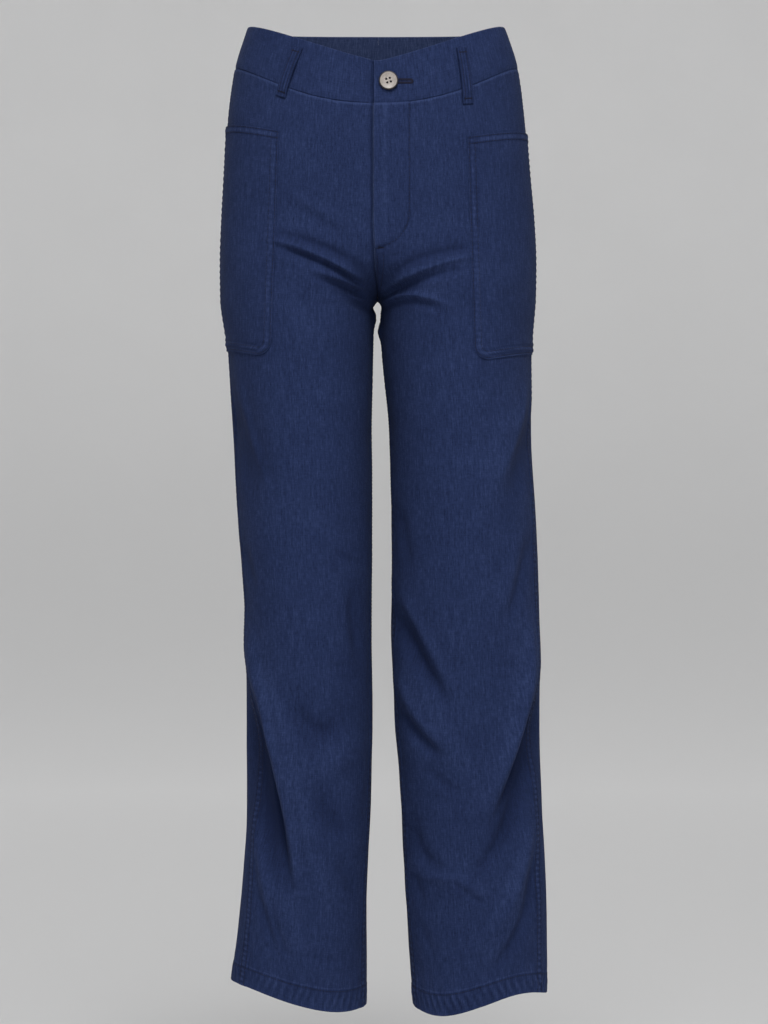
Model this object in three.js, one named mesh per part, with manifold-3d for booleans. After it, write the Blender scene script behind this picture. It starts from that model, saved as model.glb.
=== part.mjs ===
// Straight-leg jeans in light indigo denim, filled out as worn and held up at the waist.
// Millimetres, +Z up, the front faces -Y, and left and right are the wearer's: left is +X.
// The origin is the middle of the waist, at the level where the wearer holds the waistband.
import * as THREE from 'three';
import { mergeVertices } from 'three/addons/utils/BufferGeometryUtils.js';
import Module from 'manifold-3d';

const wasm = await Module();
wasm.setup();

// Cloth and seams
const CLOTH = 1.5;
const SEAM = 0.3;
const HEM_WALL = 2.8;
const HEM_DEPTH = 24;
const BAND_PROUD = 0.9;
const BAND_STEP = BAND_PROUD + CLOTH + SEAM;
const DIP_ROUND = 2.4;
const DIP_POINT = 1.08;
const FOLD_FADE = 22;
// How far the inseam lies forward of a ring's inner end, as a share of the side seam's degrees
const INSEAM_TURN = 0.45;

// Levels, measured at the side seam
const BAND_TOP = 39;
const BAND_BOTTOM = -6.5;
const PANEL_TOP = BAND_BOTTOM - SEAM;
const CROTCH = -255;
const HEM = -1015;

// Fly: the left front's folded edge lies past the centre, over the shield
const FLY_LAP = 4;
const FLY_BOTTOM = -204;
const FLY_RAISE = 1.2;
const FLY_COLUMNS = [0, 11, 22, 32, 39];
const SHIELD_COLUMNS = 4;
const FRONT_COLUMNS = 14;
const BACK_COLUMNS = 10;

// Patch pockets
const POCKET_CLOTH = 1.3;
const POCKET_CORNER = 15;
const POCKET_LEVELS = { top: -20, bottom: -345 };

// Belt loops
const LOOP_WIDTH = 12;
const LOOP_CLOTH = 1.4;
const LOOP_BOW = 3.2;
const LOOP_SEAT = 0.5;
const LOOP_STEPS = 10;
// The share of a loop's length by which it leaves the waistband, and the shares sewn down at its ends
const LOOP_LEAVES = { from: 0.8, to: 0.95 };
const LOOP_SEWN = 0.06;
const LOOP_FULLNESS = 0.6;

// Button and buttonhole
const BUTTON_AT = { x: 11.2, z: -30.5 };
const BUTTON_RADIUS = 10.2;
const BUTTON_SEAT = 0.4;
const BUTTON_HOLE_RADIUS = 1.1;
const BUTTON_HOLE_SPREAD = 2.75;
const BUTTON_HOLE_TURN = THREE.MathUtils.degToRad(-28);
const BUTTON_PROFILE = [
  [0, 0], [8.2, 0], [BUTTON_RADIUS, 1.1], [BUTTON_RADIUS, 2.4], [9.2, 3.2], [7.6, 2.9], [6.8, 2.2], [0, 2.2],
];
const BUTTON_SIDES = 32;
const SHANK_RADIUS = 0.9;
const SHANK_SIDES = 10;
const SHANK_OVERLAP = 0.5;
const SLOT = { x0: 9.2, x1: 36, height: 2.6 };

// Reach of the cutting solids from front to back
const FRONT_CUT = { near: -220, far: 40 };
const SLOT_CUT = { near: -150, far: -50 };

// How finely a ring is walked and how closely a place on the cloth is found
const RING_SAMPLES = 160;
const SURFACE_TRIES = 12;
const NORMAL_TURN = 0.002;

// The columns of each side's own measures
const LEFT = {
  name: 'left', sign: 1, outer: 'outerL', gap: 'gapL', dip: 'dipL',
  slant: 'slantL', skew: 'skewL', seam: 'seamL',
};
const RIGHT = {
  name: 'right', sign: -1, outer: 'outerR', gap: 'gapR', dip: 'dipR',
  slant: 'slantR', skew: 'skewR', seam: 'seamR',
};
const FRONT = { name: 'front', sign: -1, depth: 'front' };
const BACK = { name: 'back', sign: 1, depth: 'back' };

// Sections from the waist to the hem, one row each.
// outer: the side seam's distance from the centre; gap: the inseam's, below the crotch
// part: 0 where the two halves are one round body, 1 where each leg is round by itself
// front, back: depth of each half from the section's centre line, which lies at centre
// dip: how far the ring drops at its front; rise: how far it lifts at its back
// slant: how far the side seam lifts the ring over the inseam
// skew: how much the ring bends up towards the side seam and down towards the inseam
// round: 2 for an oval, more for fuller corners
// seam: degrees by which the side seam lies forward of the ring's outer end
const SECTION_COLUMNS = ['z', 'outerL', 'outerR', 'gapL', 'gapR', 'part', 'front', 'back', 'centre',
  'dipL', 'dipR', 'rise', 'slantL', 'slantR', 'skewL', 'skewR', 'round', 'seamL', 'seamR'];
const SECTIONS = [
  [39, 136, 140, 0.15, 0.15, 0, 97, 100, 0, 47.7, 47.7, 6, 0, 0, 0, 0, 2.2, 0, 0],
  [-6.5, 150.3, 153.8, 0.15, 0.15, 0, 102, 109, 0, 46.8, 46.8, 4, 0, 0, 0, 0, 2.25, 0, 0],
  [-60, 157.2, 161, 0.15, 0.15, 0, 105, 116, 1, 36, 36, 2, 0, 0, 0, 0, 2.35, 0, 0],
  [-120, 162.2, 164.4, 0.15, 0.15, 0, 106.5, 120.5, 3, 18, 18, 0, 0, 0, 0, 0, 2.5, 0, 0],
  [-172, 166.8, 167.2, 0.15, 0.15, 0, 105.5, 120, 5, 6, 6, 0, 0, 0, 0, 0, 2.58, 0, 0],
  [-215, 168.8, 168.6, 0.15, 0.15, 0.48, 102.5, 115, 5, 0, 0, 0, 0, 0, 0, 0, 2.28, 0, 0],
  [-255, 168.2, 168.2, 0.15, 0.15, 1, 99, 108.6, 5, 0, 0, 0, 0, 0, 0, 0, 2.02, 0, 0],
  [-264, 167.5, 167.3, 3.6, 4.6, 1, 98.4, 107.4, 5, 0, 0, 0, 0, 0, 0, 0, 2.03, 0, 0],
  [-300, 165, 162, 4.5, 5.5, 1, 96.4, 102.6, 4, 0, 0, 0, 0, 0, 0, 0, 2.05, 0, 0],
  [-400, 165.6, 156.1, 13, 7.6, 1, 90, 93, 0, 0, 0, 0, 0, 0, 0, 0, 2.08, 8, 3],
  [-500, 170.9, 149.9, 15, 7.6, 1, 84, 85, -4, 0, 0, 0, 0, 0, 0, 0, 2.1, 16, 8],
  [-600, 173.9, 143.1, 14.8, 7.4, 1, 78, 77, -7, 0, 0, 0, 0, 0, 0, 0, 2.1, 18, 11],
  [-700, 174.4, 141.5, 18.4, 6, 1, 72, 72, -5, 0, 0, 0, 0, 0, 0, 0, 2.1, 19, 16],
  [-800, 177, 141.7, 25, 7.8, 1, 68, 69, 0, 0, 0, 0, 2, 3, 0, 0, 2.1, 22, 23],
  [-900, 181.6, 146.8, 30, 12, 1, 64, 66, 5, 1, 3, 0, 7, 12, 7, 3, 2.1, 25, 28],
  [-1015, 182.8, 158.8, 38.6, 13, 1, 62, 64, 9, 1, 6.5, 0, 13, 27, 21, 9, 2.1, 27, 31],
];

// Folds of the cloth, one row each: a soft stroke through three places on the face, seen from the front
// height: how far it stands out, or in where it is below zero; width: half its breadth
const FOLD_COLUMNS = ['face', 'x0', 'z0', 'x1', 'z1', 'x2', 'z2', 'height', 'width'];
const FOLD_STEPS = 12;
const FOLDS = [
  ['front', -106, -197, -47, -222, -10, -248, -4, 14],
  ['front', 8, -245, 49, -216, 93, -214, -4, 14],
  ['front', -92, -222, -55, -250, -22, -275, 3, 14],
  ['front', 18, -268, 50, -246, 92, -240, 3, 14],
  ['front', -146, -350, -135, -410, -117, -460, -4, 15],
  ['front', 156, -357, 134, -415, 113, -485, 4, 15],
  ['front', 160, -378, 150, -430, 138, -470, -3, 13],
  ['front', -132, -640, -107, -726, -84, -805, 6, 17],
  ['front', -131, -690, -124, -776, -96, -873, -6, 15],
  ['front', -116, -850, -99, -911, -80, -965, 4, 15],
  ['front', -93, -676, -63, -715, -33, -676, -4, 15],
  ['front', -72, -745, -45, -748, -22, -718, 3, 15],
  ['front', -72, -770, -50, -805, -33, -830, -3, 13],
  ['front', 159, -585, 153, -702, 117, -822, 6, 17],
  ['front', 166, -690, 152, -775, 116, -858, -5, 15],
  ['front', 23, -581, 44, -634, 73, -673, -4, 14],
  ['front', 31, -673, 66, -719, 92, -762, 4, 16],
  ['front', 154, -865, 138, -925, 104, -962, 4, 16],
  ['front', 52, -868, 80, -873, 112, -897, 3, 14],
  ['back', 16, -238, 60, -268, 118, -262, -4, 15],
  ['back', -14, -240, -64, -262, -124, -270, -4, 15],
  ['back', 30, -290, 74, -322, 122, -330, -3, 15],
  ['back', -34, -300, -80, -330, -118, -326, -3, 15],
  ['back', 150, -560, 108, -596, 62, -590, -5, 16],
  ['back', 146, -622, 104, -640, 60, -628, 4, 16],
  ['back', -128, -570, -88, -604, -44, -592, -5, 16],
  ['back', -122, -650, -84, -664, -40, -640, 4, 16],
  ['back', 158, -700, 142, -790, 106, -866, 5, 17],
  ['back', -130, -690, -112, -782, -78, -850, 5, 17],
  ['back', 62, -800, 92, -862, 132, -892, -4, 15],
  ['back', -40, -830, -72, -880, -112, -906, -4, 15],
];

// Patch pockets, one row each: the corners of the outline seen from the front
const POCKET_FIELDS = ['side', 'sideX', 'topSide', 'topInner', 'topX', 'bottomX', 'bottomInner',
  'bottomSide'];
const POCKETS = [
  [LEFT, 190, -70, -87.5, 94, 101, -322, -306],
  [RIGHT, -190, -61, -81, -104, -112, -317, -300],
];

// Belt loops, one row each: the middle of the top end and of the bottom end
const LOOP_FIELDS = ['name', 'side', 'face', 'topX', 'topZ', 'bottomX', 'bottomZ'];
const LOOPS = [
  ['front_left', LEFT, FRONT, 87.5, 7, 94.7, -53],
  ['front_right', RIGHT, FRONT, -83.8, 7, -102, -45],
  ['back_left', LEFT, BACK, 80, 33, 84, -26],
  ['back_right', RIGHT, BACK, -80, 33, -84, -26],
  ['back_centre', LEFT, BACK, 0, 36, 0, -24],
];

const DENIM = { color: 0x243050, roughness: 0.92, metalness: 0 };
const DENIM_DARK = { color: 0x1f2a47, roughness: 0.92, metalness: 0 };
const HORN = { color: 0x8d8678, roughness: 0.45, metalness: 0 };

function named(fields, row) {
  return Object.fromEntries(fields.map((field, i) => [field, row[i]]));
}

function smooth(from, to, value) {
  const t = THREE.MathUtils.clamp((value - from) / (to - from), 0, 1);
  return t * t * (3 - 2 * t);
}

// A smooth curve through the table's rows that never overshoots them
function curveThrough(rows, column) {
  const z = rows.map((row) => row.z);
  const v = rows.map((row) => row[column]);
  const secants = z.slice(1).map((next, i) => (v[i + 1] - v[i]) / (next - z[i]));
  const slopes = v.map((_, i) => {
    const before = secants[i - 1] ?? secants[i];
    const after = secants[i] ?? secants[i - 1];
    return before * after <= 0 ? 0 : (2 * before * after) / (before + after);
  });
  return (at) => {
    let i = 0;
    while (i < z.length - 2 && at < z[i + 1]) {
      i += 1;
    }
    const span = z[i + 1] - z[i];
    const t = (at - z[i]) / span;
    const t2 = t * t;
    const t3 = t2 * t;
    return v[i] * (2 * t3 - 3 * t2 + 1) + slopes[i] * span * (t3 - 2 * t2 + t)
      + v[i + 1] * (3 * t2 - 2 * t3) + slopes[i + 1] * span * (t3 - t2);
  };
}

const sectionRows = SECTIONS.map((row) => named(SECTION_COLUMNS, row));
const section = Object.fromEntries(
  SECTION_COLUMNS.slice(1).map((name) => [name, curveThrough(sectionRows, name)]),
);

function ringAt(side, level) {
  const outer = section[side.outer](level);
  const part = section.part(level);
  const half = (outer - section[side.gap](level) * part) / (1 + part);
  return { level, part, half, middle: outer - half, round: section.round(level) };
}

// A point of one half's ring. The angle is 0 at its outer end and PI at its inner one, by way of the front,
// and below 0 by way of the back.
function ringPoint(side, ring, angle) {
  const c = Math.cos(angle);
  const s = Math.sin(angle);
  const face = s > 0 ? FRONT : BACK;
  const reach = Math.abs(s);
  const pointed = smooth(BAND_BOTTOM, BAND_TOP, ring.level);
  const hollow = THREE.MathUtils.lerp(reach ** DIP_ROUND, 1 - Math.abs(c) ** DIP_POINT, pointed);
  const drop = face === FRONT ? -section[side.dip](ring.level) * hollow : section.rise(ring.level) * s * s;
  const lift = section[side.slant](ring.level) * (1 + c) / 2 + section[side.skew](ring.level) * c * s * s;
  return new THREE.Vector3(
    side.sign * (ring.middle + ring.half * Math.sign(c) * Math.abs(c) ** (2 / ring.round)),
    section.centre(ring.level) + face.sign * section[face.depth](ring.level) * reach ** (2 / ring.round),
    ring.level + lift + drop,
  );
}

function angleAt(ring, x) {
  const u = THREE.MathUtils.clamp((x - ring.middle) / ring.half, -1, 1);
  return Math.acos(Math.sign(u) * Math.abs(u) ** (ring.round / 2));
}

// The outward direction of the surface at a ring's angle
function normalAt(side, ring, angle) {
  const along = ringPoint(side, ring, angle + NORMAL_TURN).sub(ringPoint(side, ring, angle - NORMAL_TURN));
  const down = ringPoint(side, ringAt(side, ring.level - 1), angle)
    .sub(ringPoint(side, ringAt(side, ring.level + 1), angle));
  return along.cross(down).normalize().multiplyScalar(side.sign);
}

// The place on the cloth that lies behind x and z when seen from the front, or from the back
function surfaceAt(side, face, x, z) {
  let level = z;
  let ring;
  let point;
  let angle;
  for (let i = 0; i < SURFACE_TRIES; i += 1) {
    ring = ringAt(side, level);
    angle = -face.sign * angleAt(ring, side.sign * x);
    point = ringPoint(side, ring, angle);
    level += z - point.z;
  }
  return { point, normal: normalAt(side, ring, angle) };
}

const folds = FOLDS.map((row) => {
  const fold = named(FOLD_COLUMNS, row);
  const curve = new THREE.QuadraticBezierCurve3(
    new THREE.Vector3(fold.x0, fold.z0, 0),
    new THREE.Vector3(2 * fold.x1 - (fold.x0 + fold.x2) / 2, 2 * fold.z1 - (fold.z0 + fold.z2) / 2, 0),
    new THREE.Vector3(fold.x2, fold.z2, 0),
  );
  return { ...fold, path: curve.getPoints(FOLD_STEPS) };
});

// How far the folds move the cloth out at a point of a ring. Each fold swells from its first end and dies
// away towards its last one, and all fade where the cloth turns away to the sides.
function foldHeight(point, level) {
  const depth = point.y - section.centre(level);
  const face = depth < 0 ? FRONT : BACK;
  const place = new THREE.Vector3(point.x, point.z, 0);
  let total = 0;
  for (const fold of folds.filter((each) => each.face === face.name)) {
    let nearest = Infinity;
    let along = 0;
    fold.path.slice(1).forEach((end, i) => {
      const segment = new THREE.Line3(fold.path[i], end);
      const share = segment.closestPointToPointParameter(place, true);
      const distance = segment.at(share, new THREE.Vector3()).distanceTo(place);
      if (distance < nearest) {
        nearest = distance;
        along = (i + share) / (fold.path.length - 1);
      }
    });
    const ends = smooth(-0.1, 0.35, along) * smooth(1.1, 0.65, along);
    total += fold.height * ends * Math.exp(-((nearest / fold.width) ** 2));
  }
  return total * smooth(0, FOLD_FADE, Math.abs(depth));
}

// Where a panel's inner edge lies: the fly's folded edge, the centre seam or, with the legs parted,
// the inseam
function innerEdge(side, face, ring) {
  const lap = face === FRONT ? FLY_LAP * (1 - ring.part) : 0;
  return side === LEFT ? SEAM / 2 - lap : SEAM / 2 + lap;
}

// Points along one half's ring from its inner edge to its side seam, at the given share of the columns
function ringColumns(side, face, level, count) {
  const ring = ringAt(side, level);
  const seam = THREE.MathUtils.degToRad(section[side.seam](level));
  const inseam = seam * INSEAM_TURN;
  const inner = angleAt(ring, innerEdge(side, face, ring));
  const first = face === FRONT ? Math.min(inner, Math.PI - inseam) : -inner - inseam;
  const angles = Array.from({ length: RING_SAMPLES + 1 },
    (_, i) => THREE.MathUtils.lerp(first, seam, i / RING_SAMPLES));
  const lengths = [0];
  let last = ringPoint(side, ring, angles[0]);
  for (const angle of angles.slice(1)) {
    const next = ringPoint(side, ring, angle);
    lengths.push(lengths.at(-1) + next.distanceTo(last));
    last = next;
  }
  const start = (SEAM / 2) * ring.part;
  const total = lengths.at(-1) - start - SEAM / 2;
  const columns = [];
  for (let i = 0; i <= count; i += 1) {
    const even = (total * i) / count;
    const fixed = FLY_COLUMNS[i] ?? THREE.MathUtils.mapLinear(i, FLY_COLUMNS.length - 1, count,
      FLY_COLUMNS.at(-1), total);
    const wanted = start + (face === FRONT ? THREE.MathUtils.lerp(fixed, even, ring.part) : even);
    let j = 1;
    while (j < RING_SAMPLES && lengths[j] < wanted) {
      j += 1;
    }
    const t = (wanted - lengths[j - 1]) / (lengths[j] - lengths[j - 1]);
    const angle = THREE.MathUtils.lerp(angles[j - 1], angles[j], t);
    columns.push({
      base: ringPoint(side, ring, angle),
      normal: normalAt(side, ring, angle),
      fromEdge: wanted - start,
      level,
    });
  }
  return columns;
}

// Levels of a panel's rows, close together round the crotch and at the hem
function panelLevels() {
  const stretches = [
    [PANEL_TOP, -172, 5],
    [-172, FLY_BOTTOM, 3],
    [FLY_BOTTOM, CROTCH, 5],
    [CROTCH, -264, 2],
    [-264, -300, 2],
    [-300, -560, 8],
    [-560, HEM + HEM_DEPTH, 15],
    [HEM + HEM_DEPTH, HEM, 1],
  ];
  const levels = [PANEL_TOP];
  for (const [from, to, steps] of stretches) {
    for (let i = 1; i <= steps; i += 1) {
      levels.push(THREE.MathUtils.lerp(from, to, i / steps));
    }
  }
  return levels;
}

function offset(at, distance) {
  return at.base.clone().addScaledVector(at.normal, distance);
}

// Adds the folds, the fly's doubled edge and the hem's second layer to a panel's plain points
function panelGrid(side, face) {
  const count = face === FRONT ? FRONT_COLUMNS : BACK_COLUMNS;
  return panelLevels().map((level) => ringColumns(side, face, level, count).map((at) => {
    const inFly = smooth(FLY_COLUMNS.at(-1), FLY_COLUMNS.at(-2), at.fromEdge);
    const fly = side === LEFT && face === FRONT ? inFly * smooth(FLY_BOTTOM - 10, FLY_BOTTOM, level) : 0;
    const hem = smooth(HEM + HEM_DEPTH + 1, HEM + HEM_DEPTH - 1, level);
    return {
      ...at,
      base: offset(at, foldHeight(at.base, level)),
      raise: FLY_RAISE * fly,
      wall: THREE.MathUtils.lerp(CLOTH, HEM_WALL, hem),
    };
  }));
}

// A closed wall from a grid of places: outer and inner give each side's distance from the place,
// and turned cuts the cells along their other diagonal
function wall(grid, outer, inner, turned = false) {
  const rows = grid.length;
  const columns = grid[0].length;
  const positions = [];
  for (const distance of [outer, inner]) {
    for (const row of grid) {
      for (const at of row) {
        positions.push(...offset(at, distance(at)).toArray());
      }
    }
  }
  const index = (layer, row, column) => (layer * rows + row) * columns + column;
  const triangles = [];
  const quad = (a, b, c, d) => triangles.push(a, b, c, a, c, d);
  for (let r = 0; r < rows - 1; r += 1) {
    for (let c = 0; c < columns - 1; c += 1) {
      const corners = [[r, c], [r + 1, c], [r + 1, c + 1], [r, c + 1]];
      if (turned) {
        corners.push(corners.shift());
      }
      const [a, b, d, e] = corners;
      quad(index(0, ...a), index(0, ...b), index(0, ...d), index(0, ...e));
      quad(index(1, ...a), index(1, ...e), index(1, ...d), index(1, ...b));
    }
  }
  const border = [];
  for (let c = 0; c < columns - 1; c += 1) border.push([0, c]);
  for (let r = 0; r < rows - 1; r += 1) border.push([r, columns - 1]);
  for (let c = columns - 1; c > 0; c -= 1) border.push([rows - 1, c]);
  for (let r = rows - 1; r > 0; r -= 1) border.push([r, 0]);
  border.forEach(([row, column], i) => {
    const [nextRow, nextColumn] = border[(i + 1) % border.length];
    quad(index(0, row, column), index(0, nextRow, nextColumn), index(1, nextRow, nextColumn),
      index(1, row, column));
  });
  return facingOut(positions, triangles);
}

// Gives the geometry of a closed mesh, turned so that its faces point out
function facingOut(positions, triangles) {
  const corner = (i) => new THREE.Vector3().fromArray(positions, 3 * i);
  let volume = 0;
  for (let i = 0; i < triangles.length; i += 3) {
    const [a, b, c] = [corner(triangles[i]), corner(triangles[i + 1]), corner(triangles[i + 2])];
    volume += a.dot(b.cross(c)) / 6;
  }
  const facing = volume > 0 ? triangles : [...triangles].reverse();
  const geometry = new THREE.BufferGeometry();
  geometry.setAttribute('position', new THREE.Float32BufferAttribute(positions, 3));
  geometry.setIndex(facing);
  return geometry;
}

function solid(geometry) {
  const bare = geometry.clone();
  bare.deleteAttribute('normal');
  bare.deleteAttribute('uv');
  const merged = mergeVertices(bare, 1e-4);
  return new wasm.Manifold(new wasm.Mesh({
    numProp: 3,
    vertProperties: merged.attributes.position.array,
    triVerts: new Uint32Array(merged.index.array),
  }));
}

function geometryOf(manifold) {
  const mesh = manifold.getMesh();
  const geometry = new THREE.BufferGeometry();
  geometry.setAttribute('position', new THREE.BufferAttribute(new Float32Array(mesh.vertProperties), 3));
  geometry.setIndex([...mesh.triVerts]);
  return geometry;
}

// A flat outline in x and z made into a solid that runs from one y to another
function prism(shape, { near, far }, curveSegments) {
  const settings = { depth: far - near, bevelEnabled: false, curveSegments };
  const geometry = new THREE.ExtrudeGeometry(shape, settings);
  geometry.rotateX(Math.PI / 2);
  geometry.translate(0, far, 0);
  return solid(geometry);
}

// The waistband's halves run from the fly round the side to the centre back
function bandGrid(side, levels) {
  return levels.map((level) => {
    const front = ringColumns(side, FRONT, level, FRONT_COLUMNS);
    const back = ringColumns(side, BACK, level, BACK_COLUMNS);
    return [...front.slice(0, -1), ...back.reverse()];
  });
}

const bandLevels = [BAND_BOTTOM, (BAND_BOTTOM + BAND_TOP) / 2, BAND_TOP];
const bandLeft = bandGrid(LEFT, bandLevels);

function waistbandLeft() {
  const band = solid(wall(bandLeft, () => BAND_PROUD, () => -CLOTH));
  const slot = new THREE.Shape();
  const half = SLOT.height / 2;
  slot.moveTo(SLOT.x0 + half, BUTTON_AT.z - half);
  slot.lineTo(SLOT.x1 - half, BUTTON_AT.z - half);
  slot.absarc(SLOT.x1 - half, BUTTON_AT.z, half, -Math.PI / 2, Math.PI / 2);
  slot.lineTo(SLOT.x0 + half, BUTTON_AT.z + half);
  slot.absarc(SLOT.x0 + half, BUTTON_AT.z, half, Math.PI / 2, 1.5 * Math.PI);
  return geometryOf(band.subtract(prism(slot, SLOT_CUT, 4)));
}

// The right half goes on under the left one, where the button is sewn on
function waistbandRight() {
  const grid = bandGrid(RIGHT, bandLevels).map((row, r) => {
    const under = bandLeft[r].slice(0, SHIELD_COLUMNS).reverse().map((at) => ({
      ...at,
      base: offset(at, -BAND_STEP),
    }));
    return [...under, ...row.slice(1)];
  });
  return wall(grid, () => BAND_PROUD, () => -CLOTH);
}

const panels = {};
for (const face of [FRONT, BACK]) {
  for (const side of [LEFT, RIGHT]) {
    panels[`${face.name}_${side.name}`] = { side, face, grid: panelGrid(side, face) };
  }
}

function panel({ side, grid }) {
  return wall(grid, (at) => at.raise, (at) => -at.wall);
}

// The shield lies behind the fly, on the inside of both fronts
function flyShield() {
  const rows = panelLevels().filter((level) => level >= FLY_BOTTOM).length;
  const left = panels.front_left.grid.slice(0, rows);
  const right = panels.front_right.grid.slice(0, rows);
  const grid = left.map((row, r) => [...row.slice(0, SHIELD_COLUMNS).reverse(), right[r][1]]);
  return wall(grid, () => -CLOTH - SEAM, () => -2 * CLOTH - SEAM, true);
}

function pocket(row) {
  const {
    side, sideX, topSide, topInner, topX, bottomX, bottomInner, bottomSide,
  } = named(POCKET_FIELDS, row);
  const rows = panels[`front_${side.name}`].grid
    .filter(([{ level }]) => level > POCKET_LEVELS.bottom && level < POCKET_LEVELS.top)
    .map((line) => line.slice(FLY_COLUMNS.length));
  const slab = wall(rows, () => SEAM + POCKET_CLOTH, () => SEAM);
  const outline = new THREE.Shape();
  outline.moveTo(sideX, topSide);
  outline.lineTo(topX, topInner);
  outline.lineTo(bottomX, bottomInner + POCKET_CORNER);
  outline.quadraticCurveTo(bottomX, bottomInner, bottomX + side.sign * POCKET_CORNER, bottomInner);
  outline.lineTo(sideX, bottomSide);
  outline.closePath();
  return geometryOf(solid(slab).intersect(prism(outline, FRONT_CUT, 5)));
}

// A belt loop is a strip that lies on the cloth at both ends and stands off it between them
function beltLoop(row) {
  const { side, face, topX, topZ, bottomX, bottomZ } = named(LOOP_FIELDS, row);
  const grid = [];
  for (let i = 0; i <= LOOP_STEPS; i += 1) {
    const t = i / LOOP_STEPS;
    const x = THREE.MathUtils.lerp(topX, bottomX, t);
    const z = THREE.MathUtils.lerp(topZ, bottomZ, t);
    const { point, normal } = surfaceAt(side, face, x, z);
    const seat = BAND_PROUD * (1 - smooth(LOOP_LEAVES.from, LOOP_LEAVES.to, t)) + LOOP_SEAT;
    const free = THREE.MathUtils.clamp((t - LOOP_SEWN) / (1 - 2 * LOOP_SEWN), 0, 1);
    const bow = LOOP_BOW * Math.sin(Math.PI * free) ** LOOP_FULLNESS;
    const down = new THREE.Vector3(bottomX - topX, 0, bottomZ - topZ);
    const across = normal.clone().cross(down).normalize();
    const centre = point.clone().addScaledVector(normal, seat + bow);
    grid.push([-0.5, 0.5].map((share) => ({
      base: centre.clone().addScaledVector(across, share * LOOP_WIDTH),
      normal,
    })));
  }
  return wall(grid, () => LOOP_CLOTH, () => 0);
}

// The button's disc has a raised rim and four holes, and its shank goes down through the buttonhole
function button() {
  const profile = BUTTON_PROFILE.map(([radius, height]) => new THREE.Vector2(radius, height));
  const disc = new THREE.LatheGeometry(profile, BUTTON_SIDES);
  let body = solid(disc.rotateX(Math.PI / 2));
  for (let i = 0; i < 4; i += 1) {
    const angle = BUTTON_HOLE_TURN + (i * Math.PI) / 2;
    const hole = new THREE.CylinderGeometry(BUTTON_HOLE_RADIUS, BUTTON_HOLE_RADIUS, 12, 10);
    hole.rotateX(Math.PI / 2);
    hole.translate(BUTTON_HOLE_SPREAD * Math.cos(angle), BUTTON_HOLE_SPREAD * Math.sin(angle), 0);
    body = body.subtract(solid(hole));
  }
  const length = BAND_STEP + 2 * SHANK_OVERLAP;
  const shank = new THREE.CylinderGeometry(SHANK_RADIUS, SHANK_RADIUS, length, SHANK_SIDES);
  shank.rotateX(Math.PI / 2);
  shank.translate(0, 0, SHANK_OVERLAP - BAND_STEP / 2);
  return geometryOf(body.add(solid(shank)));
}

function mesh(name, geometry, material) {
  const result = new THREE.Mesh(geometry, new THREE.MeshStandardMaterial(material));
  result.name = name;
  return result;
}

const jeans = new THREE.Group();
for (const [name, each] of Object.entries(panels)) {
  jeans.add(mesh(name, panel(each), DENIM));
}
jeans.add(mesh('fly_shield', flyShield(), DENIM_DARK));
jeans.add(mesh('waistband_left', waistbandLeft(), DENIM));
jeans.add(mesh('waistband_right', waistbandRight(), DENIM));
for (const row of POCKETS) {
  jeans.add(mesh(`pocket_${row[0].name}`, pocket(row), DENIM_DARK));
}
for (const row of LOOPS) {
  jeans.add(mesh(`loop_${row[0]}`, beltLoop(row), DENIM_DARK));
}
const buttonMesh = mesh('button', button(), HORN);
const buttonPlace = surfaceAt(LEFT, FRONT, BUTTON_AT.x, BUTTON_AT.z);
buttonMesh.position.copy(buttonPlace.point).addScaledVector(buttonPlace.normal, BAND_PROUD + BUTTON_SEAT);
buttonMesh.quaternion.setFromUnitVectors(new THREE.Vector3(0, 0, 1), buttonPlace.normal);
jeans.add(buttonMesh);

export default jeans;
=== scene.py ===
# Straight-leg jeans in light indigo denim: the cloth's fine form, its sewing, the materials and the studio.
# The cloth is worked out in millimetres: +Z up, the front faces -Y, left is +X and is the wearer's.
import math
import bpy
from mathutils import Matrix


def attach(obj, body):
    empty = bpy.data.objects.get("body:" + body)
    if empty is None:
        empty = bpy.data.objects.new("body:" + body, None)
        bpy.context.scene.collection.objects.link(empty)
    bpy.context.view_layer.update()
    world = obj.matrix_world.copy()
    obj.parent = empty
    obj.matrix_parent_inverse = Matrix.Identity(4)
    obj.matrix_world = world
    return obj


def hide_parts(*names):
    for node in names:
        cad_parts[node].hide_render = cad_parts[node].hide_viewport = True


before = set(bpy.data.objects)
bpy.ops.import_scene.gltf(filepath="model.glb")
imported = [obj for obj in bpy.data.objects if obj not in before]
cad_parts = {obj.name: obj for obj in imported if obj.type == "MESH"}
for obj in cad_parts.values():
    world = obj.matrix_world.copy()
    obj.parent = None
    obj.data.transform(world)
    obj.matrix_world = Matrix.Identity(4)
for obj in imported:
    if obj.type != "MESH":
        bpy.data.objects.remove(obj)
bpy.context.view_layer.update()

from types import SimpleNamespace

import bpy
import numpy as np
from mathutils import Vector
from mathutils.bvhtree import BVHTree

MM = 0.001

# The studio camera looks level at the front
CAMERA_PLACE = (0.0065, -3.5, -0.4828)
CAMERA_LENS = 113.9
CAMERA_SENSOR = 36

# Cloth and seams
CLOTH = 1.5
SEAM = 0.3
CLOSED_SEAM = 0.04
HEM_WALL = 2.8
HEM_DEPTH = 24
HEM_ROW = HEM_DEPTH - 1.8
BAND_PROUD = 0.9
BAND_STEP = BAND_PROUD + CLOTH + SEAM
DIP_ROUND = 2.4
DIP_POINT = 1.08
FOLD_FADE = 22
INSEAM_TURN = 0.45

# Levels, measured at the side seam
BAND_TOP = 39
BAND_BOTTOM = -6.5
PANEL_TOP = BAND_BOTTOM - CLOSED_SEAM
CROTCH = -255
HEM = -1015

# Fly
FLY_LAP = 4
FLY_BOTTOM = -204
FLY_RAISE = 1.2
FLY_WIDTH = 37
FLY_BEND = -168

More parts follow.
